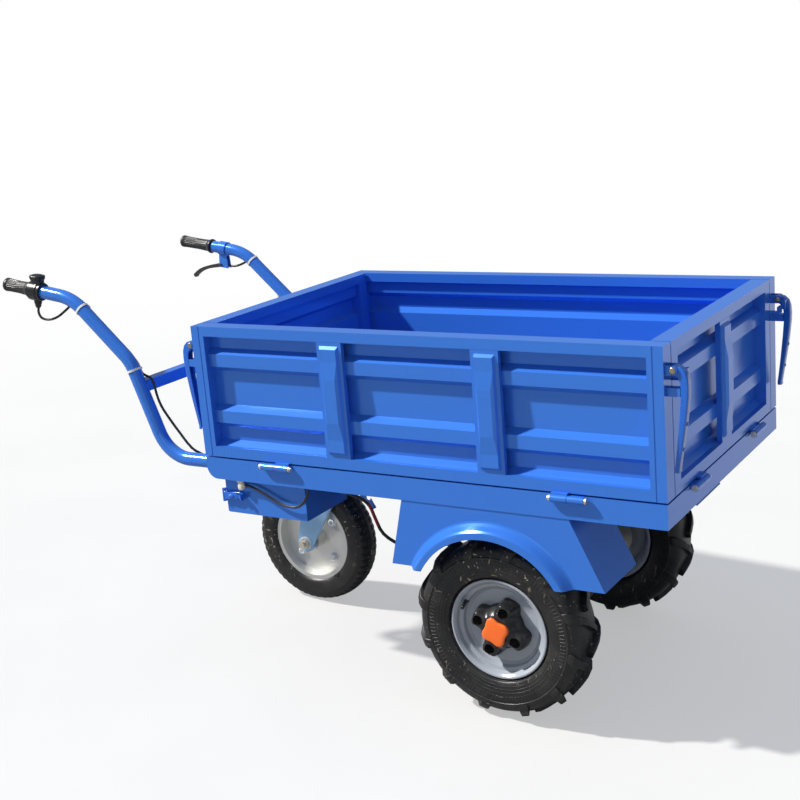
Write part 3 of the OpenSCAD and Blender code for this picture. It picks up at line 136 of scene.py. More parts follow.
# Cables: their route points in the bed frame, in metres, from one end in the object to the other
BAR_RUN = [(-0.8896, -0.315, 0.3277), (-0.8648, -0.315, 0.3048), (-0.840, -0.315, 0.282),
           (-0.800, -0.315, 0.245), (-0.772, -0.315, 0.2175), (-0.7565, -0.315, 0.1985),
           (-0.7517, -0.315, 0.1855), (-0.746, -0.315, 0.1755), (-0.734, -0.3155, 0.1705),
           (-0.721, -0.3165, 0.166), (-0.712, -0.318, 0.152), (-0.709, -0.318, 0.132),
           (-0.702, -0.318, 0.108), (-0.688, -0.318, 0.084), (-0.655, -0.318, 0.042),
           (-0.622, -0.317, 0.004), (-0.600, -0.306, -0.014), (-0.578, -0.300, -0.032),
           (-0.551, -0.300, -0.034)]
THROTTLE_ROUTE = [(-1.0346, -0.335, 0.3292), (-1.0365, -0.335, 0.316), (-1.030, -0.333, 0.303),
                  (-1.010, -0.329, 0.299), (-0.985, -0.324, 0.306), (-0.958, -0.318, 0.324),
                  (-0.932, -0.3155, 0.341), (-0.905, -0.315, 0.340)] + BAR_RUN
BRAKE_ROUTE = [(-0.9752, 0.335, 0.3158), (-0.960, 0.335, 0.314), (-0.944, 0.337, 0.316),
               (-0.928, 0.3425, 0.322), (-0.913, 0.350, 0.3295), (-0.901, 0.3548, 0.3325),
               (-0.8896, 0.355, 0.3277), (-0.8648, 0.355, 0.3048), (-0.840, 0.355, 0.282),
               (-0.8297, 0.3491, 0.2533), (-0.8138, 0.335, 0.2306), (-0.7917, 0.3209, 0.2173),
               (-0.768, 0.315, 0.210)]
# The brake cable takes up the mirrored run at this point of it
JOINS_AT = 5
BRAKE_ROUTE += [(x, -y, z) for x, y, z in BAR_RUN[JOINS_AT:]]
BOX_ROUTE = [(-0.4548, -0.345, -0.062), (-0.440, -0.345, -0.0635), (-0.418, -0.345, -0.071),
             (-0.394, -0.3455, -0.081), (-0.369, -0.346, -0.0925), (-0.344, -0.346, -0.0995),
             (-0.318, -0.346, -0.100), (-0.299, -0.346, -0.0905), (-0.288, -0.3455, -0.077),
             (-0.2815, -0.345, -0.064), (-0.279, -0.345, -0.051)]
MOTOR_ROUTE = [(-0.296, -0.240, -0.090), (-0.282, -0.240, -0.090), (-0.263, -0.222, -0.101),
               (-0.249, -0.190, -0.122), (-0.243, -0.165, -0.148), (-0.233, -0.161, -0.178),
               (-0.218, -0.155, -0.216), (-0.190, -0.130, -0.248), (-0.150, -0.100, -0.262),
               (-0.118, -0.054, -0.266), (-0.092, -0.014, -0.276), (-0.072, 0, -0.280), (-0.053, 0, -0.280)]
# Where the motor's socket lies from the last point of its route
MOTOR_DROP = Vector((0.00045, 0, -0.004))
# Diameters of the thin leads and of the motor's lead
THIN = 0.006
THICK = 0.008
LEG_STEPS = 3
TUBE_SIDES = 16


def smooth_route(points):
    """Points on one smooth curve through a route, in the row frame."""
    p = [Vector(q) for q in points]
    p = [2 * p[0] - p[1]] + p + [2 * p[-1] - p[-2]]
    out = []
    for a, b, c, d in zip(p, p[1:], p[2:], p[3:]):
        for k in range(LEG_STEPS):
            t = k / LEG_STEPS
            out.append(0.5 * (2 * b + (c - a) * t + (2 * a - 5 * b + 4 * c - d) * t ** 2
                              + (3 * b - a - 3 * c + d) * t ** 3))
    return [BED @ q for q in out + [p[-2]]]


def add_tube(bm, points, radius):
    """Round tube along points, its section carried on without twist."""
    rings = []
    side = Vector((0, 1, 0))
    for i, p in enumerate(points):
        run = (points[min(i + 1, len(points) - 1)] - points[max(i - 1, 0)]).normalized()
        side = (side - run * side.dot(run)).normalized()
        over = run.cross(side)
        turns = [TAU * k / TUBE_SIDES for k in range(TUBE_SIDES)]
        rings.append([bm.verts.new(p + radius * (math.cos(a) * side + math.sin(a) * over)) for a in turns])
    skin(bm, rings)


def cable(name, node, route, diameter, body="chassis"):
    """Round cable along a route, both ends in the object."""
    points = smooth_route(route)
    bm = bmesh.new()
    add_tube(bm, points, diameter / 2)
    obj = bpy.data.objects.new(name, to_mesh(name, bm))
    bpy.context.scene.collection.objects.link(obj)
    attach(obj, body)
    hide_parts(node)
    return obj


motor_line = [Vector(p) + MOTOR_DROP * i / (len(MOTOR_ROUTE) - 1) for i, p in enumerate(MOTOR_ROUTE)]
cables = {
    "throttle": cable("throttle_wire", "throttle_cable", THROTTLE_ROUTE, THIN),
    "brake": cable("brake_wire", "brake_cable", BRAKE_ROUTE, THIN),
    "box": cable("box_wire", "box_cable", BOX_ROUTE, THIN),
    "motor": cable("motor_wire", "motor_cable", motor_line, THICK),
}


# Material nodes
def graph(name):
    """New material, its tree and its shader."""
    mat = bpy.data.materials.new(name)
    mat.use_nodes = True
    tree = mat.node_tree
    return mat, tree, tree.nodes["Principled BSDF"]


def put(tree, kind, _set=None, **inputs):
    """Adds a node, sets its properties and inputs, and links inputs that are sockets."""
    n = tree.nodes.new("ShaderNode" + kind)
    for key, value in (_set or {}).items():
        setattr(n, key, value)
    for key, value in inputs.items():
        feed(tree, n.inputs[key.replace("_", " ")], value)
    return n


def feed(tree, socket, value):
    """Links a socket or sets a value on it."""
    if isinstance(value, bpy.types.NodeSocket):
        tree.links.new(value, socket)
    elif hasattr(value, "__len__") and len(value) == 3 and len(socket.default_value) == 4:
        socket.default_value = (*value, 1)
    else:
        socket.default_value = value


def coords(tree, scale=None):
    """Object coordinates, stretched where a scale is given."""
    out = put(tree, "TexCoord").outputs["Object"]
    if scale:
        out = put(tree, "Mapping", Vector=out, Scale=scale).outputs[0]
    return out


def noise(tree, scale, detail=3.0, rough=0.55, vec=None, warp=0.0):
    """Noise value in object coordinates."""
    return put(tree, "TexNoise", Vector=vec or coords(tree), Scale=scale, Detail=detail,
               Roughness=rough, Distortion=warp).outputs[0]


def band(tree, value, low, high, to_low=0.0, to_high=1.0):
    """Smooth step of a value."""
    n = put(tree, "MapRange", {"interpolation_type": "SMOOTHSTEP"}, Value=value)
    for key, v in (("From Min", low), ("From Max", high), ("To Min", to_low), ("To Max", to_high)):
        n.inputs[key].default_value = v
    return n.outputs[0]


def mix(tree, fac, a, b):
    """Colour between two."""
    n = put(tree, "Mix", {"data_type": "RGBA"})
    feed(tree, n.inputs[0], fac)
    feed(tree, n.inputs[6], a)
    feed(tree, n.inputs[7], b)
    return n.outputs[2]


def calc(tree, op, a, b=0.0):
    """Result of a sum on one or two values."""
    n = put(tree, "Math", {"operation": op})
    feed(tree, n.inputs[0], a)
    feed(tree, n.inputs[1], b)
    return n.outputs[0]


def bump(tree, shader, height, strength, depth):
    """Relief of a height from 0 to 1 that is so deep in metres."""
    n = put(tree, "Bump", Strength=strength, Distance=depth, Height=height)
    feed(tree, shader.inputs["Normal"], n.outputs[0])


def facing_up(tree):
    """How far a face looks up, from -1 to 1."""
    normal = put(tree, "NewGeometry").outputs["Normal"]
    return put(tree, "SeparateXYZ", Vector=normal).outputs["Z"]


def paint(name, colour, deep, dust, gloss=0.22, chips=0.0):
    """Sprayed enamel: cloudy colour, orange peel, rubbed spots, dust and a few chips."""
    mat, t, sh = graph(name)
    cloud = band(t, noise(t, 3.1, 3.0), 0.3, 0.72)
    base = mix(t, cloud, colour, deep)
    streak = noise(t, 1.0, 4.0, 0.6, vec=coords(t, (26, 26, 5)))
    base = mix(t, band(t, streak, 0.58, 0.9, 0.0, 0.16), base, [min(1, c * 1.5 + 0.05) for c in colour])
    dirt = calc(t, "MULTIPLY", band(t, noise(t, 9.0, 6.0, 0.66), 0.46, 0.8),
                band(t, facing_up(t), -0.2, 1.0, 0.16, 0.55))
    base = mix(t, calc(t, "MULTIPLY", dirt, dust), base, (0.50, 0.47, 0.42))
    if chips:
        fleck = band(t, noise(t, 34.0, 5.0, 0.72, warp=0.6), 0.70, 0.725)
        zone = band(t, noise(t, 2.4, 2.0), 0.55, 0.68)
        fleck = calc(t, "MULTIPLY", calc(t, "MULTIPLY", fleck, zone), chips)
        base = mix(t, fleck, base, (0.42, 0.40, 0.42))
    feed(t, sh.inputs["Base Color"], base)
    rub = band(t, noise(t, 14.0, 5.0, 0.62), 0.35, 0.8, gloss * 0.8, gloss * 1.7)
    feed(t, sh.inputs["Roughness"], calc(t, "ADD", rub, calc(t, "MULTIPLY", dirt, 0.35)))
    sh.inputs["Coat Weight"].default_value = 0.4
    sh.inputs["Coat Roughness"].default_value = 0.09
    sh.inputs["Specular IOR Level"].default_value = 0.5
    peel = noise(t, 210.0, 2.0, 0.5)
    bump(t, sh, peel, 0.35, 0.00012)
    return mat


def metal(name, colour, deep, rough, metallic, grain=60.0, relief=0.00008, spangle=False, dull=0.35):
    """Bare or plated metal with cloudy tarnish, and flakes where it is galvanised."""
    mat, t, sh = graph(name)
    cloud = band(t, noise(t, grain, 4.0, 0.6), 0.3, 0.75)
    if spangle:
        flakes = put(t, "TexVoronoi", Vector=coords(t), Scale=150.0).outputs["Color"]
        value = put(t, "SeparateColor", Color=flakes).outputs[0]
        cloud = calc(t, "ADD", calc(t, "MULTIPLY", cloud, 0.45), calc(t, "MULTIPLY", value, 0.5))
    base = mix(t, cloud, colour, deep)
    grime = band(t, noise(t, 21.0, 6.0, 0.7), 0.52, 0.82, 0.0, dull)
    feed(t, sh.inputs["Base Color"], mix(t, grime, base, (0.18, 0.16, 0.14)))
    sh.inputs["Metallic"].default_value = metallic
    feed(t, sh.inputs["Roughness"], band(t, cloud, 0.0, 1.0, rough * 0.75, rough * 1.3))
    bump(t, sh, noise(t, grain * 5, 3.0), 0.4, relief)
    return mat


def sidewall(tree, node):
    """Height of the moulded rings and teeth on a drive tyre's sidewall."""
    mid = middle(node)
    place = put(tree, "SeparateXYZ", Vector=coords(tree)).outputs
    x = calc(tree, "SUBTRACT", place["X"], mid.x)
    z = calc(tree, "SUBTRACT", place["Z"], mid.z)
    r = calc(tree, "SQRT", calc(tree, "ADD", calc(tree, "MULTIPLY", x, x), calc(tree, "MULTIPLY", z, z)))
    turn = calc(tree, "ARCTAN2", z, x)

    def within(low, high):
        edge = 0.0015
        rise = band(tree, r, low, low + edge)
        return calc(tree, "MULTIPLY", rise, band(tree, r, high, high + edge, 1.0, 0.0))

    rings = band(tree, calc(tree, "SINE", calc(tree, "MULTIPLY", r, TAU / 0.0065)), 0.2, 0.8)
    teeth = band(tree, calc(tree, "SINE", calc(tree, "MULTIPLY", turn, 120.0)), -0.3, 0.3)
    low = calc(tree, "MULTIPLY", rings, within(0.122, 0.139))
    high = calc(tree, "MULTIPLY", teeth, within(0.145, 0.157))
    return calc(tree, "MAXIMUM", low, high)


def rubber(name, colour, worn, dust, rough=0.62, fine=420.0, straw=0.0, wheel=None):
    """Black rubber or moulded plastic: fine grain, dull spots, dry dust and bits of straw."""
    mat, t, sh = graph(name)
    cloud = band(t, noise(t, 18.0, 5.0, 0.62), 0.32, 0.75)
    base = mix(t, cloud, colour, worn)
    dirt = band(t, noise(t, 46.0, 7.0, 0.72), 0.52, 0.78)
    patch = band(t, noise(t, 7.0, 3.0), 0.36, 0.7)
    dirt = calc(t, "MULTIPLY", calc(t, "MULTIPLY", dirt, patch), dust)
    base = mix(t, dirt, base, (0.36, 0.31, 0.24))
    if straw:
        for stretch in ((150, 150, 34), (34, 150, 150), (150, 90, 60)):
            bits = band(t, noise(t, 1.0, 3.0, 0.6, vec=coords(t, stretch), warp=0.4), 0.665, 0.70)
            bits = calc(t, "MULTIPLY", calc(t, "MULTIPLY", bits, patch), straw)
            base = mix(t, bits, base, (0.62, 0.55, 0.40))
    feed(t, sh.inputs["Base Color"], base)
    feed(t, sh.inputs["Roughness"], band(t, cloud, 0.0, 1.0, rough * 0.8, min(0.95, rough * 1.2)))
    sh.inputs["Specular IOR Level"].default_value = 0.45
    grain = noise(t, fine, 3.0, 0.6)
    if wheel:
        bump(t, sh, calc(t, "ADD", calc(t, "MULTIPLY", grain, 0.25), sidewall(t, wheel)), 0.8, 0.0009)
    else:
        bump(t, sh, grain, 0.45, 0.00022)
    return mat


def power_sheath(name, plain, red, low, high):
    """Cable sheath with a red stretch between two heights."""
    mat, t, sh = graph(name)
    cloud = band(t, noise(t, 90.0, 4.0), 0.3, 0.7)
    z = put(t, "SeparateXYZ", Vector=coords(t)).outputs["Z"]
    z = calc(t, "ADD", z, calc(t, "MULTIPLY", cloud, 0.003))
    edge = 0.004
    stretch = calc(t, "MULTIPLY", band(t, z, low, low + edge), band(t, z, high, high + edge, 1.0, 0.0))
    base = mix(t, cloud, plain, [c * 1.8 for c in plain])
    feed(t, sh.inputs["Base Color"], mix(t, stretch, base, red))
    feed(t, sh.inputs["Roughness"], band(t, cloud, 0.0, 1.0, 0.38, 0.55))
    bump(t, sh, noise(t, 500.0, 2.0), 0.4, 0.0002)
    return mat


BLUE = paint("blue_enamel", (0.006, 0.128, 0.600), (0.005, 0.108, 0.530), 0.35, 0.2, chips=0.9)
# Fork's paler blue paint, made brighter than its own colour: painted light that stands in for sun the
# shaded fork does not get.
PALE_BLUE = paint("pale_blue_enamel", (0.060, 0.400, 0.86), (0.050, 0.360, 0.80), 0.06, 0.3)
BLACK_PAINT = paint("black_enamel", (0.016, 0.016, 0.018), (0.028, 0.028, 0.030), 0.7, 0.34)
RIM = paint("silver_enamel", (0.41, 0.44, 0.49), (0.33, 0.36, 0.41), 0.5, 0.2)
ORANGE = rubber("orange_plastic", (0.96, 0.165, 0.022), (0.88, 0.135, 0.016), 0.10, 0.42, 700.0)
TYRE = rubber("tyre_rubber", (0.009, 0.009, 0.010), (0.021, 0.020, 0.020), 0.30, 0.5, 380.0, 0.85)
LUGGED = rubber("lugged_rubber", (0.009, 0.009, 0.010), (0.019, 0.019, 0.018), 0.26, 0.46, 380.0, 0.85,
                "near_tyre")
GRIP = rubber("grip_rubber", (0.020, 0.020, 0.021), (0.036, 0.036, 0.036), 0.2, 0.42, 900.0)
PLASTIC = rubber("black_plastic", (0.013, 0.013, 0.014), (0.022, 0.022, 0.023), 0.16, 0.3, 800.0)
SHEATH = rubber("cable_sheath", (0.014, 0.014, 0.015), (0.028, 0.027, 0.027), 0.3, 0.4, 600.0)
POWER = power_sheath("power_sheath", (0.014, 0.014, 0.015), (0.33, 0.012, 0.014), 0.300, 0.352)
NYLON = rubber("white_nylon", (0.72, 0.69, 0.58), (0.62, 0.58, 0.47), 0.3, 0.5, 500.0)
CASE = rubber("battery_case", (0.05, 0.13, 0.10), (0.07, 0.16, 0.12), 0.2, 0.45, 500.0)
ZINC = metal("zinc_plate", (0.46, 0.39, 0.27), (0.33, 0.27, 0.18), 0.36, 0.9)
# Galvanised zinc: its own pale grey made near white, tinted blue and given little metal, as painted sheen
# and a painted reflection of the blue paint standing in for its bright reflections.
GALV = metal("galvanised_sheet", (0.90, 0.96, 1.0), (0.82, 0.89, 0.95), 0.24, 0.1, spangle=True, dull=0.12)
ALLOY = metal("cast_alloy", (0.55, 0.55, 0.56), (0.42, 0.42, 0.43), 0.45, 0.9, 120.0, 0.0002)

SLOT_LOOKS = {
    "blue_paint": BLUE, "pale_blue_paint": PALE_BLUE, "black_paint": BLACK_PAINT,
    "black_plastic": PLASTIC, "grip_rubber": GRIP, "cable_sheath": SHEATH, "white_nylon": NYLON,
    "orange_plastic": ORANGE, "battery_case": CASE, "cast_aluminium": ALLOY, "zinc": ZINC,
    "galvanised": GALV, "rim_silver": RIM, "tyre_rubber": TYRE,
}

for word, obj in cables.items():
    obj.data.materials.append(POWER if word == "motor" else SHEATH)


# Mesh helpers
def piece(name, mesh, body, slot, *stands_for):
    """Object of a mesh in the row frame that rides on a body and has a slot's finish."""
    obj = bpy.data.objects.new(name, mesh)
    bpy.context.scene.collection.objects.link(obj)
    mesh.materials.append(SLOT_LOOKS[slot])
    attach(obj, body)
    if stands_for:
        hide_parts(*stands_for)
    return obj


def shade_evenly(obj):
    """Shading that follows the large faces."""
    even = obj.modifiers.new("even", "WEIGHTED_NORMAL")
    even.keep_sharp = False


def soften(obj, width=1.2, segments=2, angle=32):
    """Small rounded edges with even shading."""
    weld = obj.modifiers.new("weld", "WELD")
    weld.merge_threshold = 0.00002
    bev = obj.modifiers.new("round", "BEVEL")
    bev.limit_method = "ANGLE"
    bev.angle_limit = math.radians(angle)
    bev.width = width * MM
    bev.segments = segments
    bev.miter_outer = "MITER_ARC"
    shade_evenly(obj)


def bake(obj):
    """Sets the mesh that the modifiers give as the object's own."""
    bpy.context.view_layer.update()
    deps = bpy.context.evaluated_depsgraph_get()
    mesh = bpy.data.meshes.new_from_object(obj.evaluated_get(deps))
    obj.modifiers.clear()
    old = obj.data
    obj.data = mesh
    bpy.data.meshes.remove(old)
    mesh.name = obj.name


def clip(value):
    """Value kept between 0 and 1."""
    return max(0.0, min(1.0, value))


def around(radius, y, sides):
    """Points of a circle about Y."""
    turns = [TAU * i / sides for i in range(sides)]
    return [(radius * math.cos(a), y, radius * math.sin(a)) for a in turns]


def lathe(bm, profile, segments, place):
    """Closed ring from a closed profile of (radius, along) in millimetres about Y."""
    rings = []
    for i in range(segments):
        a = TAU * i / segments
        rings.append(ring(bm, place, [(r * math.cos(a), y, r * math.sin(a)) for r, y in profile]))
    wrap(bm, rings)


def lathe_solid(bm, profile, segments, place):
    """Turned solid with flat ends from an open profile of (radius, along) about Y."""
    skin(bm, [ring(bm, place, around(r, y, segments)) for r, y in profile])


def block(bm, place, low, high):
    """Box between two corners."""
    made = bmesh.ops.create_cube(bm, size=1)["verts"]
    mid = (Vector(low) + Vector(high)) / 2
    size = Vector(high) - Vector(low)
    for v in made:
        v.co = place @ ((mid + Vector(a * b for a, b in zip(v.co, size))) * MM)


def rounded(points, radius, steps=4):
    """Closed profile with its corners rounded, each by its own radius where one is given."""
    out = []
    n = len(points)
    for i, p in enumerate(points):
        r = p[2] if len(p) > 2 else radius
        here = Vector(p[:2])
        a = Vector(points[i - 1][:2]) - here
        b = Vector(points[(i + 1) % n][:2]) - here
        if r <= 0 or a.length < 1e-6 or b.length < 1e-6:
            out.append(tuple(here))
            continue
        half = a.angle(b) / 2
        cut = min(r / max(math.tan(half), 1e-3), a.length * 0.49, b.length * 0.49)
        p0 = here + a.normalized() * cut
        p1 = here + b.normalized() * cut
        for k in range(steps + 1):
            s = k / steps
            q = (1 - s) ** 2 * p0 + 2 * s * (1 - s) * here + s ** 2 * p1
            out.append((q.x, q.y))
    return out


# Drive wheels: outer side towards -Y on the near one, mirrored on the far one
WHEEL_TURN = math.radians(24)


def wheel_place(side):
    """Middle of a drive wheel, turned as in the photograph."""
    flip = Matrix.Scale(-1, 4, (0, 1, 0)) if side > 0 else Matrix()
    spin = Matrix.Rotation(WHEEL_TURN - PITCH, 4, "Y")
    return Matrix.Translation(middle("far_tyre" if side > 0 else "near_tyre")) @ flip @ spin


# Carcass of a drive tyre under its lugs, half section of (radius, along)
CARCASS = [(102, 36), (112, 36.5), (115, 40), (116.5, 44), (119, 46), (124, 48.5), (134, 52),
           (147, 54), (160.5, 53.4), (161.5, 54.9), (164, 54.9), (165, 53.0), (168, 52.0),
           (172, 50.4), (177, 48), (182, 43.5), (186, 36), (188.3, 26), (189.4, 13), (189.8, 0)]
# Wall of the carcass, thinner up to the top of the bead, and how much narrower it is inside
TYRE_WALL = 7
BEAD_WALL = 1
BEAD_TOP = 120
INSIDE_SHARE = 0.80
TYRE_SIDES = 144
LUGS = 12
# Stations of a lug from the middle to the sidewall: radius of the foot, along, height, angle, half width
LUG = [(188.0, -10, 13.4, -0.035, 8.2), (188.4, 5, 13.2, 0.03, 9.0), (187.4, 19, 13.6, 0.092, 10.0),
       (184.0, 33, 13.2, 0.148, 11.2), (179.0, 42, 10.6, 0.186, 12.4), (173.5, 47, 8.4, 0.206, 13.0),
       (168.0, 50.2, 5.0, 0.218, 12.6), (163.0, 52.6, 2.0, 0.226, 11.0)]
LUG_SINK = 3.0
# Shares of the half width at a lug's top and where its edge rounds over, at a share of its height
LUG_TAPER = 0.78
LUG_EDGE = 0.88
LUG_EDGE_UP = 0.8


def lug_frames():
    """Foot points with the direction that a lug stands up in, in the section plane."""
    pts = [Vector((r, y)) for r, y, *_ in LUG]
    out = []
    for i, p in enumerate(pts):
        run = (pts[min(i + 1, len(pts) - 1)] - pts[max(i - 1, 0)]).normalized()
        rise = Vector((run.y, -run.x))
        out.append((p, rise if rise.x > 0 else -rise))
    return out


def add_lug(bm, place, side, turn):
    """One lug, out from the middle of the tread to one side."""
    rings = []
    for (p, rise), (_, _, h, ang, half) in zip(lug_frames(), LUG):
        outline = ((-LUG_SINK, 1), (h * LUG_EDGE_UP, LUG_EDGE), (h, LUG_TAPER))
        points = []
        for up, w in [(u, -s) for u, s in outline] + list(outline[::-1]):
            q = p + rise * up
            a = turn + ang + w * half / max(q.x, 1)
            points.append((q.x * math.cos(a), side * q.y, q.x * math.sin(a)))
        rings.append(ring(bm, place, points))
    skin(bm, rings)


def drive_tyre(side, name, body, node):
    """Hollow carcass with lugs that alternate from side to side."""
    place = wheel_place(side)
    bm = bmesh.new()
    inner = [(r - (TYRE_WALL if r > BEAD_TOP else BEAD_WALL), y * INSIDE_SHARE) for r, y in CARCASS]
    outside = CARCASS + [(r, -y) for r, y in CARCASS[-2::-1]]
    inside = inner + [(r, -y) for r, y in inner[-2::-1]]
    lathe(bm, outside + inside[::-1], TYRE_SIDES, place)
    for i in range(LUGS):
        add_lug(bm, place, -1, TAU * i / LUGS)
        add_lug(bm, place, 1, TAU * (i + 0.5) / LUGS)
    obj = piece(name, to_mesh(name, bm), body, "tyre_rubber", node)
    obj.data.materials[0] = LUGGED
    soften(obj, 1.0, 2, 30)


# Section of a rim, of (radius, along, rounding)
RIM_FACE = [(111, -38, 1.5), (111, -42, 2), (106.5, -42, 3), (101.5, -37, 2.5), (98.5, -29, 2),
            (90.5, -26.5, 2.5), (87.5, -19, 3), (81, -15, 3), (14.5, -15, 0), (14.5, -12, 0),
            (80, -12, 2.5), (85, -2, 4), (87, 14, 4), (98, 30, 3), (100, 36, 2), (106.5, 42, 3),
            (111, 42, 2), (111, 38, 1.5), (104, 37, 2), (101.5, 30, 2), (91, 14, 4), (91, -22, 2),
            (101.5, -30, 2), (104, -37, 2)]
RIM_SIDES = 96


def drive_rim(side, name, body, node):
    """Dished rim with a rolled flange on both sides."""
    bm = bmesh.new()
    lathe(bm, rounded(RIM_FACE, 2), RIM_SIDES, wheel_place(side))
    shade_evenly(piece(name, to_mesh(name, bm), body, "rim_silver", node))


# Hub cap: its foot along the axle, its height, its radius between two nuts and further over a nut
CAP_BASE = -15.3
CAP_TALL = 37.7
CAP_R = 49.5
CAP_LOBE = 16.3
# How steeply the outline goes from between two nuts to over a nut
LOBE_STEEP = 0.68
# Section of a cap from rim to middle: share of the outline radius, share of the height
CAP_STEPS = [(1.0, 0.0), (0.995, 0.22), (0.98, 0.48), (0.955, 0.72), (0.925, 0.87), (0.88, 0.955),
             (0.82, 0.985), (0.74, 0.993), (0.66, 0.997), (0.58, 1.0), (0.5, 1.0), (0.4, 1.0)]
CAP_SIDES = 128
# Scoop between two nuts: share of the height, radius where it starts, its run and how it curves
CAP_WAIST = 0.62
SCOOP_FROM = 29
SCOOP_RUN = 21
SCOOP_CURVE = 1.5
NUTS = 4
NUT_RING = 46
NUT_WELL = [(11.8, -60), (11.4, -38), (10.6, -17)]


def cap_lobe(a):
    """One over a nut, zero midway between two."""
    t = clip(0.5 + LOBE_STEEP * math.cos(NUTS * a))
    return t * t * (3 - 2 * t)


def hub_cap(side, name, body, node):
    """Cap with a tower over each nut and a scooped saddle between towers."""
    bm = bmesh.new()
    place = wheel_place(side)
    rings = []
    for share, up in CAP_STEPS:
        points = []
        for i in range(CAP_SIDES):
            a = TAU * i / CAP_SIDES
            lobe = cap_lobe(a)
            r = (CAP_R + CAP_LOBE * lobe) * share
            scoop = (1 - lobe) * CAP_WAIST * clip((r - SCOOP_FROM) / SCOOP_RUN) ** SCOOP_CURVE
            y = CAP_BASE - CAP_TALL * up * (1 - scoop)
            points.append((r * math.cos(a), y, r * math.sin(a)))
        rings.append(ring(bm, place, points))
    skin(bm, rings)
    obj = piece(name, to_mesh(name, bm), body, "black_plastic", node)
    cut_wells(obj, place)
    soften(obj, 1.0, 2, 40)


def cut_wells(obj, place):
    """Bores the nut wells into a cap, and sets the result as its mesh."""
    bm = bmesh.new()
    for x, _, z in around(NUT_RING, 0, NUTS):
        lathe_solid(bm, NUT_WELL, 32, place @ Matrix.Translation(Vector((x, 0, z)) * MM))
    drill = bpy.data.objects.new("drill", to_mesh("drill", bm))
    bpy.context.scene.collection.objects.link(drill)
    cut = obj.modifiers.new("wells", "BOOLEAN")
    cut.object = drill
    cut.operation = "DIFFERENCE"
    cut.solver = "EXACT"
    bake(obj)
    bpy.data.objects.remove(drill)


# Badge on a cap: sections of (share of the outline, height), its radius and how far that draws in
BADGE_STEPS = [(1.0, 0.0), (1.0, 4.6), (0.975, 6.2), (0.92, 6.9), (0.7, 7.15), (0.35, 7.2)]
BADGE_R = 32
BADGE_DRAW = 7.5
BADGE_SINK = 0.3


def cap_badge(side, name, body, node):
    """Plain pillowed star with four rounded points."""
    bm = bmesh.new()
    foot = CAP_BASE - CAP_TALL + BADGE_SINK
    rings = []
    for share, up in BADGE_STEPS:
        points = []
        for i in range(CAP_SIDES):
            a = TAU * i / CAP_SIDES
            r = (BADGE_R - BADGE_DRAW * (0.5 + 0.5 * math.cos(NUTS * a))) * share
            points.append((r * math.cos(a), foot - up, r * math.sin(a)))
        rings.append(ring(bm, wheel_place(side), points))
    skin(bm, rings)
    piece(name, to_mesh(name, bm), body, "orange_plastic", node)


VALVE = [(6.5, 1.5), (6.5, 0), (5.2, -2), (4.4, -5), (3.9, -18), (3.4, -19), (3.4, -20.5), (4.3, -20.6),
         (4.3, -29), (3.6, -30.5)]
VALVE_PLACE = (94, -25, 0)
VALVE_TURN = math.radians(150) + WHEEL_TURN
VALVE_LEAN = math.radians(-14)


def valve(side, name, body):
    """Rubber valve stem with its cap, in the wheel's dish."""
    seat = Matrix.Translation(Vector(VALVE_PLACE) * MM) @ Matrix.Rotation(VALVE_LEAN, 4, "Z")
    bm = bmesh.new()
    lathe_solid(bm, VALVE, 24, wheel_place(side) @ Matrix.Rotation(-VALVE_TURN, 4, "Y") @ seat)
    soften(piece(name, to_mesh(name, bm), body, "black_plastic"), 0.3, 1, 40)


for side, word in ((-1, "near"), (1, "far")):
    wheel = word + "_wheel"
    drive_tyre(side, word + "_lugged_tyre", wheel, word + "_tyre")
    drive_rim(side, word + "_dished_rim", wheel, word + "_rim")
    hub_cap(side, word + "_moulded_cap", wheel, word + "_hub_cap")
    cap_badge(side, word + "_plain_badge", wheel, word + "_cap_badge")
    valve(side, word + "_valve_stem", wheel)

# Caster tyre: half section of (radius, along) from bead to shoulder, and the line of its inside
CASTER_SIDE = [(99, 25), (104, 26), (106.5, 30), (110, 33.5), (118, 36.6), (129, 37.4), (138, 36.9),
               (140, 37.4), (142, 36.4), (147, 34.9), (151.5, 32.6)]
CASTER_INSIDE = [(101, -22), (130, -30), (150, -24), (155, 0), (150, 24), (130, 30), (101, 22)]
# Crown between the shoulders: its radius, half width, fall to the shoulder and how that curves
CASTER_CROWN = 163.0
CASTER_SHOULDER = 31.0
CROWN_FALL = 8.6
CROWN_CURVE = 2.6
TREAD_ROWS = 34
TREAD_STEPS = 324
TREAD_BLOCKS = 54
TREAD_DEPTH = 4.6
# Zigzag grooves and shoulder slots: where they run, and each one's half reach and fade
TREAD_ZIG = 3.2
GROOVE_Y = 9.5
SLOT_Y = 11
GROOVE_CUT = (1.9, 1.1)
SLOT_CUT = (1.7, 0.11)


def crown_radius(y):
    """Round crown of the caster tyre."""
    return CASTER_CROWN - CROWN_FALL * (abs(y) / CASTER_SHOULDER) ** CROWN_CURVE


def cut_depth(off, cut):
    """Depth share of a cut at a distance from its middle."""
    reach, fade = cut
    return clip(reach - abs(off) / fade)


def tread_cut(a, y):
    """Depth share of the tread cuts: two zigzag grooves and slots out over the shoulders."""
    phase = a * TREAD_BLOCKS / TAU
    zig = TREAD_ZIG * (abs((phase % 1) - 0.5) * 2 - 0.5)
    groove = cut_depth(abs(y) - GROOVE_Y - zig, GROOVE_CUT)
    shift = 0.5 if y > 0 else 0.0
    slot = cut_depth(((phase + shift) % 1) - 0.5, SLOT_CUT)
    return max(groove, slot if abs(y) > SLOT_Y + zig else 0.0)


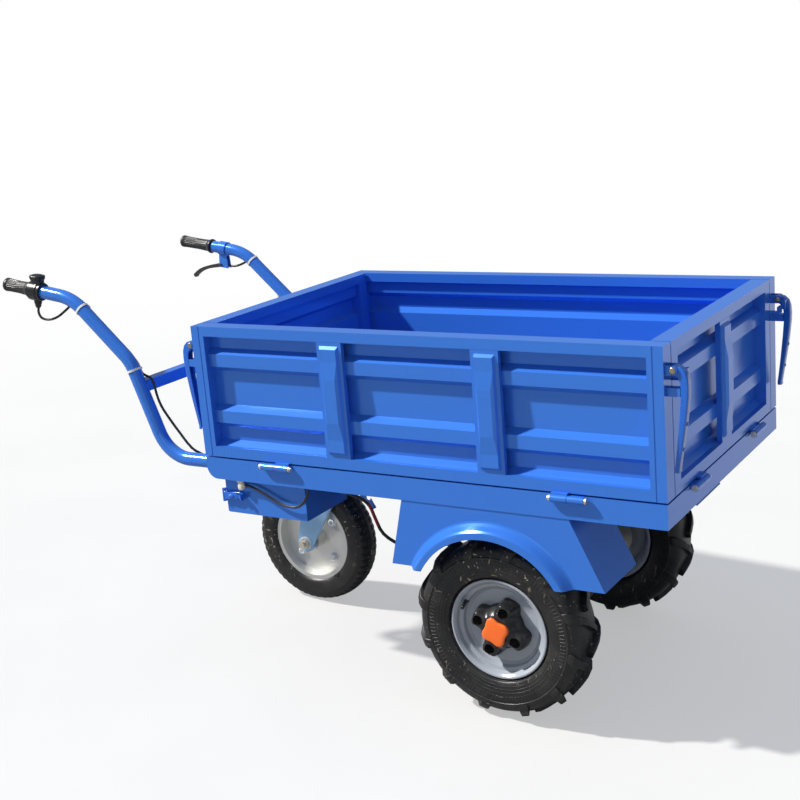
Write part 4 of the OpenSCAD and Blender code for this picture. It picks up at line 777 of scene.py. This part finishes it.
def caster_tyre():
    """Road tyre whose tread is cut into its crown."""
    place = Matrix.Translation(middle("caster_tyre"))
    bm = bmesh.new()
    rings = []
    for i in range(TREAD_STEPS):
        a = TAU * i / TREAD_STEPS
        line = list(CASTER_SIDE)
        for k in range(TREAD_ROWS + 1):
            y = CASTER_SHOULDER * (1 - 2 * k / TREAD_ROWS)
            line.append((crown_radius(y) - TREAD_DEPTH * tread_cut(a, y), y))
        line += [(r, -y) for r, y in CASTER_SIDE[::-1]] + CASTER_INSIDE
        rings.append(ring(bm, place, [(r * math.cos(a), y, r * math.sin(a)) for r, y in line]))
    wrap(bm, rings)
    mesh = to_mesh("caster_road_tyre", bm)
    shade_evenly(piece("caster_road_tyre", mesh, "caster_roll", "tyre_rubber", "caster_tyre"))


caster_tyre()

# Caster hardware: the bolts of the disc, and sections of the washers
CASTER_BOLTS = 4
CASTER_BOLT_RING = 66
DISC_FACE = -3.1
WASHER_T = 1.6
BOLT_WASHER = [(6.2, 0), (11, 0), (11, -WASHER_T), (6.2, -WASHER_T)]
AXLE_WASHER = [(8.2, -56.1), (17.5, -56.1), (17.5, -57.9), (8.2, -57.9)]
# Nut across its flats, its height and its bore
NUT_ACROSS = 16
NUT_TALL = 6.4
NUT_BORE = 6.1
# Chamfer of a nut: the share of its height where it starts and of its radius at the top
NUT_SIDE = 0.82
NUT_TOP = 0.9


def hex_nut(bm, place):
    """Nut with a turned chamfer, standing along -Y."""
    r = NUT_ACROSS / math.sqrt(3)
    section = [(NUT_BORE, 0), (r, 0), (r, -NUT_TALL * NUT_SIDE), (r * NUT_TOP, -NUT_TALL),
               (NUT_BORE, -NUT_TALL)]
    wrap(bm, [ring(bm, place, around(radius, y, 6)) for radius, y in section])


def caster_hardware():
    """Nuts and washers on the clamp bolts of the disc, both faces, and on the axle ends."""
    hub = Matrix.Translation(middle("caster_tyre"))
    nuts = bmesh.new()
    washers = bmesh.new()
    for face in (1, -1):
        flip = hub @ Matrix.Scale(face, 4, (0, 1, 0))
        for k in range(CASTER_BOLTS):
            turn = Matrix.Rotation(TAU * (k + 0.5) / CASTER_BOLTS, 4, "Y")
            spot = flip @ turn @ Matrix.Translation(Vector((CASTER_BOLT_RING, DISC_FACE, 0)) * MM)
            lathe(nuts, BOLT_WASHER, 28, spot)
            hex_nut(nuts, spot @ Matrix.Translation((0, -WASHER_T * MM, 0)))
        lathe(washers, AXLE_WASHER, 40, flip)
    nuts = to_mesh("caster_disc_nuts", nuts, False)
    soften(piece("caster_disc_nuts", nuts, "caster_roll", "galvanised"), 0.4, 2, 30)
    washers = to_mesh("caster_axle_washers", washers)
    soften(piece("caster_axle_washers", washers, "caster", "galvanised"), 0.3, 2, 30)


caster_hardware()

# Grips: their bar ends at this place of the bed frame and falls towards the bed
GRIP_END = (-1125, 335, 384)
GRIP_TILT = math.radians(8.246)
FLUTES = 22
FLUTE_STEPS = 6
FLUTE_ROUND = 0.6
GRIP_BORE = 11.12
WAIST_STEPS = 14
# Flutes wind from this share of the length on, by this much to the end
WIND_FROM = 0.45
WIND = 1.1


def grip_place(side):
    """End of a grip's bar, with X along the bar."""
    x, y, z = GRIP_END
    return BED @ Matrix.Translation(Vector((x, side * y, z)) * MM) @ Matrix.Rotation(GRIP_TILT, 4, "Y")


def fluted_sleeve(name, side, length, body, node):
    """Rubber sleeve about the bar, with flutes that wind at one end."""
    bm = bmesh.new()
    steps = FLUTES * FLUTE_STEPS
    rings = []
    for along, radius, deep in sleeve_stations(length):
        wind = WIND * max(0.0, along / length - WIND_FROM)
        points = []
        for i in range(steps):
            a = TAU * i / steps
            r = radius - deep * (0.5 - 0.5 * math.cos(FLUTES * (a + wind))) ** FLUTE_ROUND
            points.append((along, r * math.cos(a), r * math.sin(a)))
        rings.append(ring(bm, grip_place(side), points))
    wrap(bm, rings)
    piece(name, to_mesh(name, bm), body, "grip_rubber", node)


def sleeve_stations(length):
    """Closed section of a grip as (along, radius, flute depth): cap, waist, flange, and the bore back."""
    out = [(-4.9, 13.2, 0), (-4.6, 15.4, 0), (-3, 16.4, 0), (2, 16.5, 0), (4, 16.2, 0), (5, 15.9, 0.6)]
    for k in range(WAIST_STEPS + 1):
        u = k / WAIST_STEPS
        out.append((6 + (length - 20) * u, 15.9 - 0.8 * math.sin(math.pi * u) + 0.6 * u, 1.35))
    out += [(length - 12, 16.6, 0.5), (length - 10, 17.4, 0), (length - 6, 19, 0), (length - 4.5, 19.9, 0),
            (length - 1, 19.9, 0), (length - 0.1, 19.2, 0), (length - 0.1, GRIP_BORE, 0),
            (-0.3, GRIP_BORE, 0), (-0.4, 2, 0), (-4.9, 2, 0)]
    return out


fluted_sleeve("throttle_sleeve", -1, 78, "throttle", "throttle_grip")
fluted_sleeve("brake_side_sleeve", 1, 100, "chassis", "brake_side_grip")

# Throttle housing: a clamp about the bar, a switch head above it and a spout for its cable
CLAMP_FROM, CLAMP_TO = 78.3, 115.7
CLAMP_R = 24.0
CLAMP_NECK = 2.6
CLAMP_BORE = 11.3
HEAD_MID = 97.0
# Sections of the head up from the clamp to its rim and down into the rocker's pocket, as height,
# half length and half width
HEAD = [(8, 15.5, 14.5), (24, 14.4, 13.6), (27.5, 14.8, 14), (31, 16.4, 15.6), (34, 17, 16.4),
        (36.8, 16.8, 16.2), (38.4, 15.6, 15.2), (38.9, 14.2, 13.8), (38.9, 11.4, 7.7), (29.5, 11.4, 7.7)]
# Spout under the clamp, as radius and height
SPOUT = [(10, -6), (10, -25), (9.2, -26.5), (9.2, -30.5), (7.6, -32), (7.6, -37), (6, -38.5), (6, -41)]
SQUIRCLE_SIDES = 56
SQUARENESS = 3.2


def squircle(half_l, half_w):
    """Points of a rounded rectangle."""
    out = []
    for i in range(SQUIRCLE_SIDES):
        a = TAU * i / SQUIRCLE_SIDES
        c, s = math.cos(a), math.sin(a)
        r = (abs(c) ** SQUARENESS + abs(s) ** SQUARENESS) ** (-1 / SQUARENESS)
        out.append((half_l * r * c, half_w * r * s))
    return out


def squircle_stack(bm, place, sections):
    """Solid through rounded rectangles of height, half length and half width."""
    skin(bm, [ring(bm, place, [(x, y, z) for x, y in squircle(half_l, half_w)])
              for z, half_l, half_w in sections])


def throttle_housing():
    """Clamp, switch head and spout in one housing."""
    place = grip_place(-1)
    clamp = [(CLAMP_BORE, CLAMP_FROM), (CLAMP_R - 3, CLAMP_FROM), (CLAMP_R, CLAMP_FROM + 3),
             (CLAMP_R, CLAMP_TO - 9), (CLAMP_R - CLAMP_NECK, CLAMP_TO - 7),
             (CLAMP_R - CLAMP_NECK, CLAMP_TO), (CLAMP_BORE, CLAMP_TO)]
    bm = bmesh.new()
    lathe(bm, rounded(clamp, 1.6), 64, place @ Matrix.Rotation(-TAU / 4, 4, "Z"))
    at_head = place @ Matrix.Translation(Vector((HEAD_MID, 0, 0)) * MM)
    squircle_stack(bm, at_head, HEAD)
    lathe_solid(bm, SPOUT, 32, at_head @ Matrix.Rotation(TAU / 4, 4, "X"))
    mesh = to_mesh("throttle_clamp", bm)
    soften(piece("throttle_clamp", mesh, "chassis", "black_plastic", "throttle_housing"), 0.7, 2, 40)


throttle_housing()

# Latch levers: a corner's frame has u off the end face, v inward from the outer face, and z up
CORNER = (550, 355)
LEVER_V = 20.0
LEVER_PIN = (14.0, 258.0)
LEVER_HALF = 9.0
# Sheet of a lever, the radius of its folds, and how far a fold's middle lies in from both faces
SHEET = 2.6
FOLD = 3.0
FOLD_IN = 0.9
# Stations of a lever from its pivot to its tip: outer edge and inner edge, as (u, z)
LEVER = [((17, 267), (13, 250)), ((28, 264), (18, 247.5)), ((36.5, 256), (23, 243)),
         ((41, 244), (26.2, 236)), ((42.4, 228), (27.4, 226)), ((41.6, 208), (27.4, 208)),
         ((38, 176), (24.8, 176)), ((33, 142), (21.2, 142)), ((27.6, 110), (17.6, 110)),
         ((23, 84), (14.2, 84)), ((20.4, 68), (11.8, 68)), ((20.8, 61.2), (12.4, 61.2))]
LEVER_BOSS = [(8.9, -9), (8.9, 9)]
# Finger that reaches over the strike, as two corners of (u, v, z)
LEVER_FINGER = ((27, 20, 238), (35, 42, 258))
# Rivets on the outer edge, as shares of the lever's length, and their section
RIVETS = (0.6, 0.74)
RIVET = [(4.2, 1), (4.2, -0.6), (3.4, -1.7), (1.6, -2.3)]
PIN_HEAD = [(3.9, 8), (3.9, 12.4), (6.2, 12.4), (6.2, 14.2), (4.6, 15.4), (2.0, 15.8)]


def corner_place(end, side):
    """Corner of the bed that a latch sits at."""
    half_l, half_w = CORNER
    flip = Matrix.Scale(end, 4, (1, 0, 0)) @ Matrix.Scale(-side, 4, (0, 1, 0))
    return BED @ flip @ Matrix.Translation(Vector((half_l, -half_w, 0)) * MM)


def channel_section(outer, inner):
    """Points of a U section that lies between two edges."""
    outer, inner = Vector(outer), Vector(inner)
    wide = (outer - inner).length
    web, corner, fold = 1 - SHEET / wide, 1 - FOLD / wide, 1 - FOLD_IN / wide
    h, t = LEVER_HALF, LEVER_HALF - SHEET
    line = [(0, h), (corner, h), (fold, h - FOLD_IN), (1, h - FOLD), (1, FOLD - h), (fold, FOLD_IN - h),
            (corner, -h), (0, -h), (0, -t), (web, -t), (web, t), (0, t)]
    points = []
    for share, v in line:
        q = inner.lerp(outer, share)
        points.append((q.x, LEVER_V + v, q.y))
    return points


def latch_lever(word, end, side):
    """Pressed channel lever with its boss, finger and rivets, and the pin's heads."""
    place = corner_place(end, side)
    name, body = word + "_channel_lever", word + "_lever"
    bm = bmesh.new()
    skin(bm, [ring(bm, place, channel_section(outer, inner)) for outer, inner in LEVER])
    u, z = LEVER_PIN
    at_pin = place @ Matrix.Translation(Vector((u, LEVER_V, z)) * MM)
    lathe_solid(bm, LEVER_BOSS, 40, at_pin)
    block(bm, place, *LEVER_FINGER)
    for share in RIVETS:
        i = share * (len(LEVER) - 1)
        spot = Vector(LEVER[int(i)][0]).lerp(Vector(LEVER[int(i) + 1][0]), i % 1)
        at_rivet = place @ Matrix.Translation(Vector((spot.x, LEVER_V, spot.y)) * MM)
        lathe_solid(bm, RIVET, 20, at_rivet @ Matrix.Rotation(TAU / 4, 4, "Z"))
    soften(piece(name, to_mesh(name, bm, False), body, "blue_paint", word + "_latch"), 0.7, 2, 25)
    bm = bmesh.new()
    for face in (1, -1):
        lathe_solid(bm, PIN_HEAD, 28, at_pin @ Matrix.Scale(face, 4, (0, 1, 0)))
    soften(piece(word + "_lever_pin", to_mesh(word + "_lever_pin", bm), body, "zinc"), 0.3, 2, 35)


for end, end_word in ((1, "tail"), (-1, "front")):
    for side, side_word in ((-1, "near"), (1, "far")):
        latch_lever(side_word + "_" + end_word, end, side)

# Box hasp: a barrel at the door's edge, a pressed lever, and a wire loop about the staple
HASP_AXIS = (-521.5, -339.5, -92.5)
HASP_BARREL = [(4.3, -9.9), (4.5, -9.6), (4.5, 9.6), (4.3, 9.9)]
HASP_PIN = [(2.3, -14.9), (2.5, -14.6), (2.5, 14.6), (2.3, 14.9)]
# Stations from the barrel: along, half height, place off the box and thickness
HASP_LEVER = [(-1, 9.8, -2.6, 2.6), (8, 9.8, -2.6, 2.6), (14, 8.0, -4.4, 2.8), (30, 7.6, -4.8, 2.8),
              (38, 6.6, -4.4, 2.8), (43, 5.4, -3.4, 2.4)]
HASP_TIP = [(53.6, 6.6, -1.2, 2.4), (55.4, 7.2, -3.0, 2.4), (57.0, 7.0, -7.0, 2.4), (57.8, 6.0, -11.5, 2.2)]
# Half of the wire loop, as along and height, its place off the box and the wire's radius
HASP_LOOP = [(22, 6.4), (30, 8.0), (44, 8.4), (50, 8.0), (53.2, 6.2), (54.4, 3.0)]
HASP_WIRE_Y = -1.4
HASP_WIRE = 1.7
# Pressed oval on the lever: its section, its place, and its height as a share of its length
HASP_OVAL = [(8.5, 2), (8.5, 0), (7.8, -1.4), (5.6, -2.4), (2.4, -2.8)]
HASP_OVAL_PLACE = (23, -6.2, 0)
HASP_OVAL_FLAT = 0.52


def plate_run(bm, place, stations):
    """Flat bar through stations of along, half height, depth and thickness."""
    rings = []
    for x, half, y, thick in stations:
        low, high = y - thick / 2, y + thick / 2
        rings.append(ring(bm, place, [(x, low, -half), (x, low, half), (x, high, half), (x, high, -half)]))
    skin(bm, rings)


def box_hasp():
    """Toggle of the battery box, closed over its staple."""
    place = BED @ Matrix.Translation(Vector(HASP_AXIS) * MM)
    upright = place @ Matrix.Rotation(TAU / 4, 4, "X")
    bm = bmesh.new()
    lathe_solid(bm, HASP_BARREL, 32, upright)
    lathe_solid(bm, HASP_PIN, 24, upright)
    plate_run(bm, place, HASP_LEVER)
    plate_run(bm, place, HASP_TIP)
    loop = HASP_LOOP + [(x, -z) for x, z in HASP_LOOP[::-1]]
    add_tube(bm, [place @ (Vector((x, HASP_WIRE_Y, z)) * MM) for x, z in loop], HASP_WIRE * MM)
    flat = Matrix.Scale(HASP_OVAL_FLAT, 4, (0, 0, 1))
    lathe_solid(bm, HASP_OVAL, 40, place @ Matrix.Translation(Vector(HASP_OVAL_PLACE) * MM) @ flat)
    mesh = to_mesh("box_toggle_hasp", bm, False)
    soften(piece("box_toggle_hasp", mesh, "box_hasp", "blue_paint", "box_latch_lever"), 0.6, 2, 30)


box_hasp()

# White plug under the rail: heights from its middle with half length and half width, and its collar
PLUG_MID = (-465.08, -345.0, -62.0)
PLUG = [(12, 9.6, 6.6), (8.2, 9.8, 6.8), (7.4, 8.6, 6.2), (5.6, 6.6, 5.8), (3.4, 6.6, 5.8), (1.5, 7.3, 6.3),
        (-5, 7.5, 6.6), (-9.5, 6.9, 6.2), (-11.5, 5.2, 4.8), (-12, 3.0, 2.8)]
PLUG_COLLAR = [(4.6, 3), (4.6, 8), (3.9, 9.2), (3.4, 10.2)]


def plug():
    """Shell of the plug, with a collar where its lead goes in."""
    place = BED @ Matrix.Translation(Vector(PLUG_MID) * MM)
    bm = bmesh.new()
    squircle_stack(bm, place, PLUG)
    lathe_solid(bm, PLUG_COLLAR, 28, place @ Matrix.Rotation(-TAU / 4, 4, "Z"))
    mesh = to_mesh("plug_shell", bm)
    soften(piece("plug_shell", mesh, "chassis", "white_nylon", "charge_connector"), 0.4, 2, 40)


plug()


# Looks of the CAD nodes that stay, by the slot that the record gives each of them
def slot_of_nodes():
    """Material slot of each node."""
    out = {}
    for row in frame["record"]["materials"]:
        for n in row.get("nodes", []):
            out[n] = row["slot"]
    return out


# Wider rounding of a few nodes, in millimetres
ROUNDING = {"brake_lever": 2.8, "direction_rocker": 2.0, "cable_ties": 0.5, "hinge_pins": 1.4}

for name, slot in slot_of_nodes().items():
    obj = nodes[name]
    obj.data.materials.clear()
    obj.data.materials.append(SLOT_LOOKS[slot])
    soften(obj, ROUNDING.get(name, 1.2), 3 if name in ROUNDING else 2)

# Floor, backdrop and light
FLOOR_R = 40


def make_stage():
    """Pale floor that fades out into white, with a glowing patch behind the part that only reflections see.
    """
    bm = bmesh.new()
    bmesh.ops.create_circle(bm, cap_ends=True, radius=FLOOR_R, segments=64)
    floor = bpy.data.objects.new("floor", to_mesh("floor", bm, False))
    bpy.context.scene.collection.objects.link(floor)
    mat, t, sh = graph("pale_floor")
    path = put(t, "LightPath")
    grain = band(t, noise(t, 2.0, 4.0), 0.2, 0.8)
    pale = mix(t, grain, (0.60, 0.60, 0.595), (0.56, 0.56, 0.555))
    feed(t, sh.inputs["Base Color"], mix(t, path.outputs["Is Camera Ray"], (0.30, 0.30, 0.30), pale))
    sh.inputs["Roughness"].default_value = 0.9
    sh.inputs["Specular IOR Level"].default_value = 0.1
    glow = put(t, "Emission", Color=(1, 1, 1), Strength=1.0).outputs[0]
    far = put(t, "VectorMath", {"operation": "LENGTH"}, Vector=coords(t)).outputs["Value"]
    place = put(t, "SeparateXYZ", Vector=coords(t)).outputs
    # Glow that no lamp makes: reflections see the floor behind the part glow white, which puts a painted
    # reflection on the tail end's faces.
    behind = band(t, calc(t, "ADD", place["X"], place["Y"]), 0.4, 2.2, 0.0, 0.85)
    seen = calc(t, "MAXIMUM", path.outputs["Is Camera Ray"],
                calc(t, "MULTIPLY", path.outputs["Is Glossy Ray"], behind))
    fac = calc(t, "MULTIPLY", seen, band(t, far, 1.2, 4.5, 0.45, 1.0))
    blend = put(t, "MixShader")
    feed(t, blend.inputs[0], fac)
    feed(t, blend.inputs[1], sh.outputs[0])
    feed(t, blend.inputs[2], glow)
    feed(t, t.nodes["Material Output"].inputs["Surface"], blend.outputs[0])
    floor.data.materials.append(mat)


def make_world():
    """White backdrop, and a grey sky that lights the part."""
    world = bpy.data.worlds.new("studio")
    bpy.context.scene.world = world
    world.use_nodes = True
    t = world.node_tree
    back = t.nodes["Background"]
    path = put(t, "LightPath")
    seen = path.outputs["Is Camera Ray"]
    up = put(t, "SeparateXYZ", Vector=put(t, "TexCoord").outputs["Generated"]).outputs["Z"]
    sky = mix(t, band(t, up, -0.1, 0.9), (0.21, 0.225, 0.25), (0.33, 0.39, 0.49))
    feed(t, back.inputs["Color"], mix(t, seen, sky, (1, 1, 1)))
    back.inputs["Strength"].default_value = 1.0


def lamp(name, kind, energy, place, target, size, colour=(1, 1, 1)):
    """Sun or area light at a place, aimed at a target."""
    data = bpy.data.lights.new(name, kind)
    data.energy = energy
    data.color = colour
    if kind == "SUN":
        data.angle = size
    else:
        data.shape = "RECTANGLE"
        data.size, data.size_y = size
    obj = bpy.data.objects.new(name, data)
    bpy.context.scene.collection.objects.link(obj)
    obj.location = place
    aim = Vector(target) - Vector(place)
    obj.rotation_mode = "QUATERNION"
    obj.rotation_quaternion = aim.to_track_quat("-Z", "Y")


make_stage()
make_world()
lamp("key", "SUN", 5.8, (-6.0, -2.9, 6.2), (0, 0, 0), math.radians(2.5), (1.0, 0.97, 0.92))
lamp("fill", "AREA", 9, (1.2, -4.2, 2.2), (0.3, 0, 0.5), (3.0, 2.0))
bpy.context.scene.view_settings.view_transform = "Standard"

bpy.context.view_layer.update()
